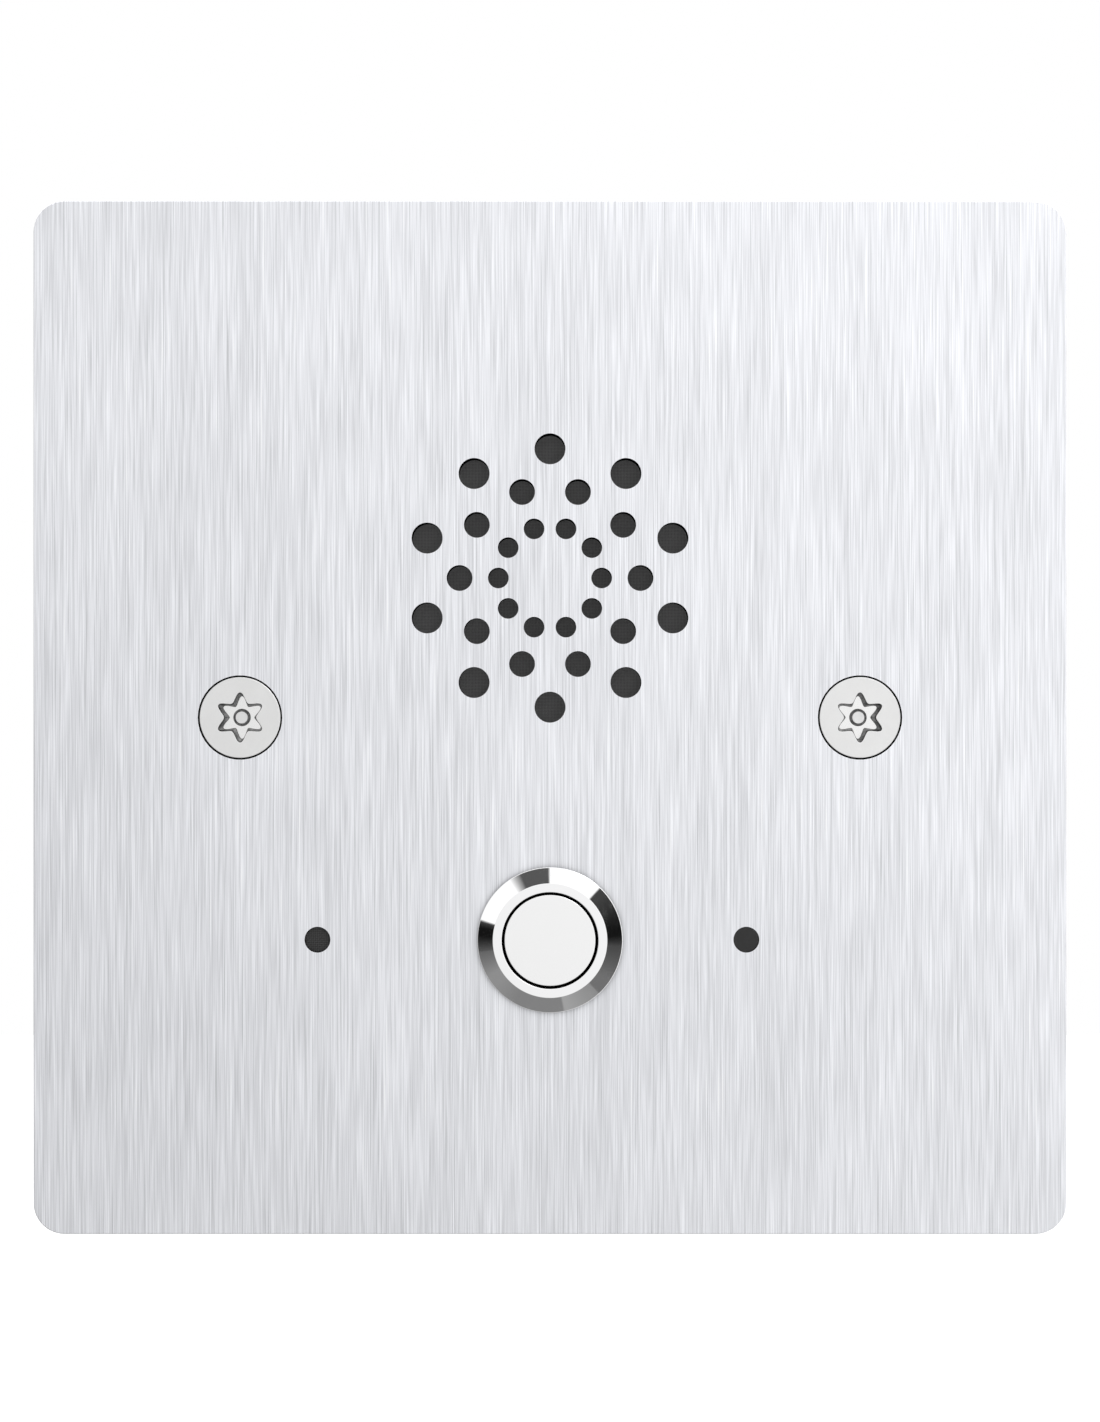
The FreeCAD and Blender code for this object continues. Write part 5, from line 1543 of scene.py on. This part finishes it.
# %% Chips, legs and small parts
def chip_legs(node, per_side, pitch, sides, width, reach, rise):
    """Grids of all legs of a package and of their pads: `sides` lists directions as (dx, dz)."""
    low, high = seen_box(node)
    (centre_x, centre_z), half = (low + high) / 2, (high - low) / 2
    legs = []
    for dx, dz in sides:
        edge = half[0] if dx else half[1]
        out = edge + np.array([-0.15, 0.3 * reach, 0.42 * reach, 0.58 * reach, reach])
        up = BOARD_BACK + np.array([rise, rise, rise * 0.62, 0.12, 0.08])
        out, up = rounded(line_of(out, up), 0.12, 3).T
        pad = edge + np.array([0.35, 1.35]) * reach
        for along in (np.arange(per_side) - (per_side - 1) / 2) * pitch:
            x, z = centre_x + dz * along, centre_z + dx * along
            path = np.stack([x + dx * out, up, z + dz * out], -1)
            legs.append(swept(path, [abs(dz), 0.0, abs(dx)], strip(width / 2, -0.07, 0.07)))
            legs.append(strip_on_board(line_of(x + dx * pad, z + dz * pad), 1.3 * width, 0.05))
    return legs


def dimple(node, inset, radius):
    """Moulded dimple that marks a chip's first leg: a shallow polished bowl."""
    (left, _, _), (_, top, upper) = box_mm(node)
    t = np.linspace(0, math.pi / 2, 5)
    bowl = line_of(radius * np.sin(t), top + 0.01 + 0.045 * (1 - np.cos(t)))
    return turned(bowl, (left + inset, upper - inset), 20)


CHIP_BLACK = moulded_finish("chip epoxy", (0.022, 0.022, 0.023), 0.58, 0.075, 0.006, dust=0.5)
DIMPLE_BLACK = moulded_finish("polished dimple", (0.02, 0.02, 0.021), 0.16, 0.2, 0.001)
legs = [leg for node, package in CHIP_LEGS.items() for leg in chip_legs(node, *package)]
piece("chip_legs", legs, SOLDER, crease=50)
eased("processor", 0.08, CHIP_BLACK)
eased("audio_amplifier", 0.08, CHIP_BLACK)
eased("network_transformer", 0.18, CHIP_BLACK)
piece("chip_dimples", [dimple("processor", 1.3, 0.45), dimple("audio_amplifier", 0.9, 0.3),
                       dimple("network_transformer", 1.4, 0.5)], DIMPLE_BLACK, crease=60)

SMALL_PARTS = [  # x, z, whether it lies along x, whether it is a brown capacitor
    (-8.9, 5.9, 0, 1), (-8.9, -4.6, 0, 1), (5.3, 6.6, 0, 1), (5.0, 1.2, 0, 0), (-5.0, 8.9, 1, 1),
    (0.9, 9.0, 1, 1), (-5.2, -6.0, 1, 1), (3.4, -6.1, 1, 1), (5.6, 9.6, 0, 0), (5.6, 12.4, 0, 0),
    (5.6, 15.2, 0, 1), (8.0, 17.6, 1, 0), (11.0, 17.6, 1, 0), (8.0, 7.3, 1, 1), (12.4, 7.3, 1, 1),
    (12.4, 3.6, 1, 0), (9.2, 1.6, 1, 1), (13.9, -2.2, 0, 1), (13.9, -5.6, 0, 1), (-6.6, 12.2, 0, 0),
    (-6.6, 15.0, 0, 0), (-6.6, 17.8, 0, 0), (-6.6, 20.6, 0, 1), (-12.0, -14.0, 1, 0), (-15.2, -14.0, 1, 0),
    (-15.2, -19.4, 0, 1), (-15.2, -22.4, 0, 0), (-15.2, -25.4, 0, 0), (-12.6, -24.0, 0, 0),
    (11.0, -13.4, 1, 0), (14.2, -13.4, 1, 1), (17.4, -13.4, 1, 0), (20.6, -13.4, 1, 0), (18.6, -18.2, 0, 1),
    (21.4, -18.2, 0, 1), (28.4, -16.0, 0, 0), (28.4, -19.0, 0, 0), (28.6, 9.0, 0, 1), (22.6, 23.6, 1, 0),
    (22.6, 26.4, 1, 0), (-17.0, 27.0, 1, 1), (-20.6, 27.0, 1, 0), (-24.0, 27.0, 1, 0), (-29.0, -10.8, 0, 1),
    (-20.2, -27.8, 1, 0), (-2.0, 29.2, 1, 0), (-5.4, 24.4, 1, 1)]


def small_part(x, z, along_x, brown):
    """Chip resistor or capacitor: body, two plated ends and a low fillet of solder at each end."""
    base = BOARD_BACK + 0.03
    top = base + (0.8 if brown else 0.48)

    def block(away, half_length, half_width, low, high, radius):
        half = (half_length, half_width) if along_x else (half_width, half_length)
        cx, cz = (x + away, z) if along_x else (x, z + away)
        return soft_box((cx - half[0], low, cz - half[1]), (cx + half[0], high, cz + half[1]), radius)

    grids = [(block(0, 0.51, 0.425, base, top, 0.05), brown)]
    for s in (-1, 1):
        grids.append((block(0.68 * s, 0.17, 0.435, base - 0.01, top + 0.015, 0.06), 2))
        grids.append((block(0.94 * s, 0.2, 0.445, BOARD_BACK - 0.03, base + 0.17, 0.09), 2))
    return grids


def ceramic_finish(name, colour):
    ceramic = Finish(name, colour, 0.4)
    ceramic.shade(ceramic.grain(0.15), 0.85, 1.15)
    return ceramic.relief(ceramic.grain(0.1), 0.006).material


CHIP_FINISHES = [ceramic_finish("resistor black", (0.03, 0.03, 0.033)),
                 ceramic_finish("ceramic brown", (0.36, 0.22, 0.12)), SOLDER]
piece("small_chip_parts", [grid for part in SMALL_PARTS for grid in small_part(*part)], CHIP_FINISHES,
      crease=50)
print("small parts:", len(SMALL_PARTS))

# %% [markdown]
# The two electrolytic capacitors are aluminium cans in a shrunk sleeve. The can is rolled in near its foot,
# the sleeve curls over the top edge, and the bare top is scored with a cross that can burst open.

# %% Capacitors
def can_skins(centre):
    """Sleeve and top disc as turned profiles; the roll near the foot is a dip of 0.3 mm."""
    foot, top, radius = BOARD_BACK, CAN_TOP, CAN_RADIUS
    y = np.linspace(foot + 0.6, foot + 3.0, 13)
    side = line_of(radius - 0.32 * np.exp(-((y - foot - 1.7) / 0.42) ** 2), y)
    t = np.linspace(0, math.pi / 2, 6)
    crown = line_of(3.5 + 0.5 * np.cos(t), top - 0.5 + 0.5 * np.sin(t))
    start, shaft = [(0, foot), (3.6, foot), (3.9, foot + 0.25)], [(radius, foot + 5.0), (radius, top - 0.5)]
    sleeve = np.concatenate([start, side, shaft, crown, [(3.15, top), (3.05, top - 0.12)]])
    lid = [(3.05, top - 0.12), (2.9, top - 0.14), (0, top - 0.14)]
    return [(turned(sleeve, centre), 0), (turned(lid, centre), 1)]


def sleeve_finish():
    """Dark blue film with a pale stripe down the right side."""
    sleeve = Finish("capacitor sleeve", (0.018, 0.03, 0.085), 0.28, constants=coat(0.4, 0.1))
    edge = (CAN_X + 3.45) / 1000
    stripe = sleeve.span(sleeve.split(sleeve.place)[0], edge, edge + 0.00006)
    sleeve.tint(stripe, (0.30, 0.33, 0.37)).cloud(5.0, 0.9, 1.1).rub(3.0, 0.24, 0.36)
    return sleeve.relief(sleeve.streaks(700, 160, 700), 0.012).material


def lid_finish():
    """Aluminium scored with a cross: near either of two lines and within 2.35 mm of the middle."""
    lid = Finish("scored aluminium lid", (0.72, 0.72, 0.73), 0.34, 1.0)
    x, _, z = lid.split(lid.place)
    scores = []
    for cx, cz in CAN_CENTRES:
        away = [lid.math("ABSOLUTE", lid.math("SUBTRACT", at, mid / 1000)) for at, mid in ((x, cx), (z, cz))]
        near, within = lid.math("MINIMUM", *away), lid.math("MAXIMUM", *away)
        scores.append(lid.times(lid.span(near, 0.00015, 0.00008), lid.span(within, 0.0024, 0.0023)))
    score = lid.math("MAXIMUM", *scores)
    lid.shade(lid.grain(0.12), 0.92, 1.06).tint(score, (0.25, 0.25, 0.26), 0.75)
    return lid.relief(lid.rest(score), 0.12).material


piece("capacitor_cans", can_skins(CAN_CENTRES[0]) + can_skins(CAN_CENTRES[1]),
      [sleeve_finish(), lid_finish()], "smoothing_capacitors", crease=40)
print("capacitors:", len(CAN_CENTRES))

# %% [markdown]
# The recess of a screw and the slot of a clamp screw are stars too: in polar form a cross is the smaller of
# its arm's end R / cos(b) and its flank w / sin(b), with b the angle from the nearest arm.

# %% Board screws and clamp screws
def arm_radius(a, reach, half_width, arms):
    """Outline of a cross (4 arms) or a slot (2 arms) as a radius at each angle."""
    step = 2 * math.pi / arms
    b = np.abs((a + step / 2) % step - step / 2)
    end = reach / np.maximum(np.cos(b), 0.05)
    flank = half_width / np.maximum(np.sin(b), 1e-3)
    return np.minimum(end, flank)


def driven_screw(place, turn, recess, radii, heights, dome, pitch=0.5):
    """Recess, then crown, side, thread and tip of a screw whose head points to +Y.

    `recess` is (reach, half width, arms, depth, share of the outline left at its floor), `radii` are those
    of head and shank, `heights` the y of crown, underside and tip."""
    reach, half_width, arms, depth, share = recess
    (head, shank), (top, under, tip) = radii, heights

    def edge(a):
        return arm_radius(a - math.radians(turn), reach, half_width, arms)

    def recess_rows(profile, a):
        return profile[:, :1] * edge(a)

    def head_rows(profile, a):
        rows = threaded(profile, a, tip + 0.2, under - 0.1, pitch, 0.5 * pitch)
        rows[0], rows[1] = 1.03 * edge(a), 1.03 * edge(a) + 0.04
        return rows

    hollow = [(0, top - depth), (share, top - depth), (1.0, top - 0.03), (1.03, top)]
    crown = np.linspace(1.03 * reach + 0.05, head - 0.06, 6)
    face = line_of(crown, top - dome * (crown / head) ** 2)
    side = [(head, top - dome - 0.08), (head, under), (shank, under)]
    thread = line_of(shank, np.arange(under - 0.05, tip + 0.2, -pitch / 8))
    body = np.concatenate([[(reach, top)] * 2, face, side, thread, [(0.85 * shank, tip), (0, tip)]])
    return [(turned(hollow, place, 180, recess_rows), 1), (turned(body, place, 180, head_rows), 0)]


CROSS, SLOT = (1.45, 0.36, 4, 0.9, 0.5), (1.12, 0.25, 2, 0.5, 0.98)
corners = [(-28, -28), (28, -28), (28, 28), (-28, 28)]
tip, top = depths("board_screws")
board_screws = [driven_screw(place, turn, CROSS, (2.7, 1.5), (top, BOARD_BACK, tip), 0.35)
                for place, turn in zip(corners, (12, 57, 31, 74))]
tip, top = depths("terminal_screws")
clamp_screws = [driven_screw((x, TERMINAL_Z), turn, SLOT, (1.28, 1.2), (top, tip + 0.3, tip), 0.03)
                for x, turn in zip(TERMINAL_X, (8, 63, 121, 40))]
# The recesses of these screws are painted dark: painted shade inside them.
ZINC_AND_SHADED_RECESS = [ZINC_STEEL, screw_finish("recess painted dark as shade", (0.22, 0.22, 0.225), 0.38)]
piece("board_screws_turned", sum(board_screws, []), ZINC_AND_SHADED_RECESS, "board_screws", crease=30)
piece("clamp_screws_turned", sum(clamp_screws, []), ZINC_AND_SHADED_RECESS, "terminal_screws", crease=30)
print("screws on the board:", len(board_screws), "and", len(clamp_screws))

# %% [markdown]
# The other parts on the board are moulded or pressed boxes whose solids already have the right shape. They
# get broken edges and the finish of their material.

# %% Finishes of the other parts
def drawn_finish(name, colour):
    """Drawn bar with bright plating: fine lines along the bar, soft clouds and a few rubbed spots."""
    bar = Finish(name, colour, 0.34, 1.0)
    lines = bar.streaks(9000, 260, 9000)
    bar.shade(lines, 0.93, 1.06, 0.3, 0.7).cloud(3.0, 0.95, 1.04).rub(2.5, 0.36, 0.30)
    return bar.relief(lines, 0.0012).material


def ferrite_finish():
    """Pressed grey ferrite with a round gap filled with glue, where the drum core sits in its shield."""
    core = Finish("ferrite", (0.085, 0.085, 0.09), 0.62)
    distance = core.apart(seen_middle("power_inductor"))
    ring = core.times(core.span(distance, 0.00245, 0.00255, smooth=True),
                      core.span(distance, 0.00290, 0.00280, smooth=True))
    top = (depths("power_inductor")[1] - 0.2) / 1000
    ring = core.times(ring, core.math("GREATER_THAN", core.split(core.place)[1], top))
    height, shade = core.marks(MOULDED_GRAIN, size=0.12)
    core.shade(shade, 0.7, 1.35).tint(ring, (0.015, 0.013, 0.012)).roughen(ring, 0.2)
    return core.relief(core.rest(ring), 0.12).relief(height, 0.02).material


def relay_finish():
    """Glossy blue case over a base filled with dull black resin, with a groove where they meet."""
    case = Finish("relay case", (0.02, 0.045, 0.16), 0.28)
    y, seam = case.split(case.place)[1], (BOARD_BACK + 1.2) / 1000
    base = case.math("LESS_THAN", y, seam)
    groove = case.span(case.math("ABSOLUTE", case.math("SUBTRACT", y, seam)), 0.00004, 0.00012)
    case.cloud(6.0, 0.9, 1.12).tint(base, (0.018, 0.018, 0.020))
    case.tint(case.rest(groove), (0.004, 0.004, 0.006), 0.8).dust(0.7, (0.3, 0.3, 0.32), 0.3)
    case.rub(5.0, 0.24, 0.36).roughen(base, 0.6)
    return case.relief(groove, 0.08).relief(case.marks(MOULDED_GRAIN, size=0.2)["Height"], 0.006).material


def terminal_finish():
    """Green moulding with a fine groove between its four poles."""
    green = Finish("terminal plastic", (0.035, 0.25, 0.10), 0.45)
    along = green.math("SUBTRACT", green.split(green.place)[0], TERMINAL_X[0] / 1000)
    groove = green.span(green.math("PINGPONG", along, 0.00175), 0.00166, 0.00171)
    height, shade = green.marks(MOULDED_GRAIN, size=0.16)
    green.shade(shade, 0.92, 1.08).cloud(5.0, 0.92, 1.08).tint(groove, (0.006, 0.05, 0.02), 0.75)
    green.dust(0.7, (0.4, 0.42, 0.4), 0.25).relief(green.rest(groove), 0.1)
    return green.relief(height, 0.012).material


def gold_finish():
    gold = Finish("gold plating", (0.92, 0.62, 0.20), 0.2, 1.0)
    grain = gold.grain(0.1)
    return gold.cloud(1.5, 0.92, 1.05).gloss(grain, 0.16, 0.3).material


TIN_SHEET = plated_finish("tinned sheet", (0.70, 0.70, 0.69), 0.22, 1.6, 0.0012, (0.97, 1.03))
JACK_PLASTIC = moulded_finish("jack plastic", (0.05, 0.05, 0.052), 0.42, 0.12, 0.008, dust=0.3)
CONNECTOR_WHITE = moulded_finish("connector nylon", (0.74, 0.71, 0.62), 0.42, 0.18, 0.01,
                                 constants={"Subsurface Weight": 0.15})
TONGUE_LENGTH, TONGUE_WIDTH = 6.0, 2.2
SHIELD_LOW, SHIELD_HIGH = box_mm("jack_shield")


def spring_tongue(start, run, away, across):
    """Tongue pressed up out of the shield: start + s run + 0.2 sin(pi s / length) away, 0.17 mm thick."""
    t = np.linspace(0, 1, 13)[:, None]
    path = start + TONGUE_LENGTH * t * run + 0.2 * np.sin(math.pi * t) * away
    return swept(path, across, strip(TONGUE_WIDTH / 2, -0.12, 0.05))


def slit_round(start, run, away, across):
    """Narrow slit along both sides and the free end of a tongue, drawn as a thin dark line."""
    side, end = (TONGUE_WIDTH / 2 + 0.15) * across, (TONGUE_LENGTH + 0.15) * run
    path = start + np.stack([-side, end - side, end + side, side])
    return swept(path + 0.012 * away, away, strip(0.01, -0.09, 0.09))


root = SHIELD_LOW[0] + 11.5
up_side = 0.45 * BOARD_BACK + 0.55 * SHIELD_HIGH[1]
tongues = [[(root, SHIELD_HIGH[1], z), (1, 0, 0), (0, 1, 0), (0, 0, 1)]
           for z in (SHIELD_LOW[2] + 4.2, SHIELD_HIGH[2] - 4.2)]
tongues += [[(root, up_side, z), (1, 0, 0), (0, 0, out), (0, 1, 0)]
            for z, out in ((SHIELD_LOW[2], -1), (SHIELD_HIGH[2], 1))]
tongues = np.array(tongues, float)

eased("jack_shield", 0.08, TIN_SHEET)
dress(JACK_PLASTIC, "jack_insert")
piece("jack_tongues", [(spring_tongue(*t), 0) for t in tongues] + [(slit_round(*t), 1) for t in tongues],
      [TIN_SHEET, JACK_PLASTIC], crease=40)
dress(gold_finish(), "jack_contacts")
eased("terminal_block", 0.15, terminal_finish())
eased("power_inductor", 0.2, ferrite_finish())
eased("door_relay", 0.35, relay_finish(), segments=3)
eased("lead_connectors", 0.15, CONNECTOR_WHITE)
eased("board_pillars", 0.15, drawn_finish("drawn hexagon bar", (0.60, 0.59, 0.56)))
print("board dressed")

# %% [markdown]
# ## Leads
# The loudspeaker and the button have two soft cores twisted together, the microphone one grey screened lead.
# A lead follows its route with round bends. The two cores turn about it: core(s) = route(s) +- g(s) (side
# cos f(s) + up sin f(s)). The gap g opens towards the solder lugs and the plug, and the angle f stops there.

# %% Twisted leads
def evenly(path, count):
    """The same line with points at equal steps along it, and its length."""
    step = np.linalg.norm(np.diff(path, axis=0), axis=1)
    run = np.concatenate([[0], np.cumsum(step)])
    at = np.linspace(0, run[-1], count)
    return np.stack([np.interp(at, run, axis) for axis in path.T], -1), run[-1]


def route_in_plane(route, reach, across, level, count):
    """Rounded route given as (across, y), with 0 (x) or 2 (z) across, as points in the plane at `level`."""
    flat, length = evenly(rounded(route, reach, 9), count)
    path = np.full((count, 3), float(level))
    path[:, [across, 1]] = flat
    return path, length


def ease(s, start, stop):
    """Smooth step from 0 before start to 1 after stop."""
    t = np.clip((s - start) / (stop - start), 0, 1)
    return t * t * (3 - 2 * t)


def twisted_cores(path, side, gap_start, gap_end, turns, radius=0.5):
    """The two cores of a twisted lead, each a round wire swept along its own winding line."""
    s = np.linspace(0, 1, len(path))
    gap = radius * 1.04 + (gap_start - radius) * (1 - ease(s, 0.03, 0.2))
    gap += (gap_end - radius) * ease(s, 0.84, 0.98)
    turn = math.pi * turns * np.clip((s - 0.13) / 0.74, 0, 1)
    side = np.broadcast_to(np.asarray(side, float), path.shape)
    up = np.cross(unit(np.gradient(path, axis=0)), side)
    arm = gap[:, None] * (np.cos(turn)[:, None] * side + np.sin(turn)[:, None] * up)
    return [(swept(path + arm, side, circle(radius)), 0), (swept(path - arm, side, circle(radius)), 1)]


def core_finish(name, colour):
    core = Finish(name, colour, 0.42, constants=coat(0.15, 0.25))
    flow = core.streaks(1400, 1400, 1400)
    core.shade(flow, 0.88, 1.12).cloud(4.0, 0.9, 1.08).gloss(flow, 0.36, 0.5)
    return core.relief(flow, 0.01).material


LEAD_TOP = depths("speaker_lead")[1] - 1.10
LUG_BACK, TERMINAL_BACK = depths("speaker_lugs")[1], depths("fixed_contacts")[1]
CAPSULE_BACK, PLUG_DEPTH = depths("mic_capsule")[1], depths("lead_connectors")[1] - 0.3

speaker_route, speaker_length = route_in_plane(
    [(17.5, LUG_BACK - 0.1), (17.5, 15.5), (17.0, LEAD_TOP), (26.6, LEAD_TOP), (26.6, PLUG_DEPTH)],
    4.3, 0, SPEAKER[1], 160)
button_route, button_length = route_in_plane(
    [(BUTTON[1], TERMINAL_BACK - 0.6), (BUTTON[1], LEAD_TOP), (-10.6, LEAD_TOP), (-10.6, PLUG_DEPTH)],
    4.0, 2, BUTTON[0], 130)
mic_route, mic_length = route_in_plane(
    [(BUTTON[1], CAPSULE_BACK - 0.1), (BUTTON[1], 13.2), (-21.9, LEAD_TOP), (-11.2, LEAD_TOP),
     (-11.2, PLUG_DEPTH)], 4.3, 2, MICROPHONE[0], 160)

RED_BLACK = [core_finish("red insulation", (0.50, 0.025, 0.018)),
             core_finish("black insulation", (0.02, 0.02, 0.021))]
BLUE_WHITE = [core_finish("blue insulation", (0.03, 0.13, 0.42)),
              core_finish("white insulation", (0.74, 0.73, 0.70))]
piece("speaker_lead_cores", twisted_cores(speaker_route, (0, 0, 1), 1.6, 1.27, 5), RED_BLACK,
      "speaker_lead", crease=70)
piece("button_lead_cores", twisted_cores(button_route, (1, 0, 0), 2.0, 1.27, 3), BLUE_WHITE,
      "button_lead", crease=70)
piece("mic_lead_sheath", [swept(mic_route, (1, 0, 0), circle(0.85, 20))],
      core_finish("grey sheath", (0.25, 0.25, 0.26)), "mic_lead", crease=70)
print("leads:", round(speaker_length, 1), round(button_length, 1), round(mic_length, 1), "mm")
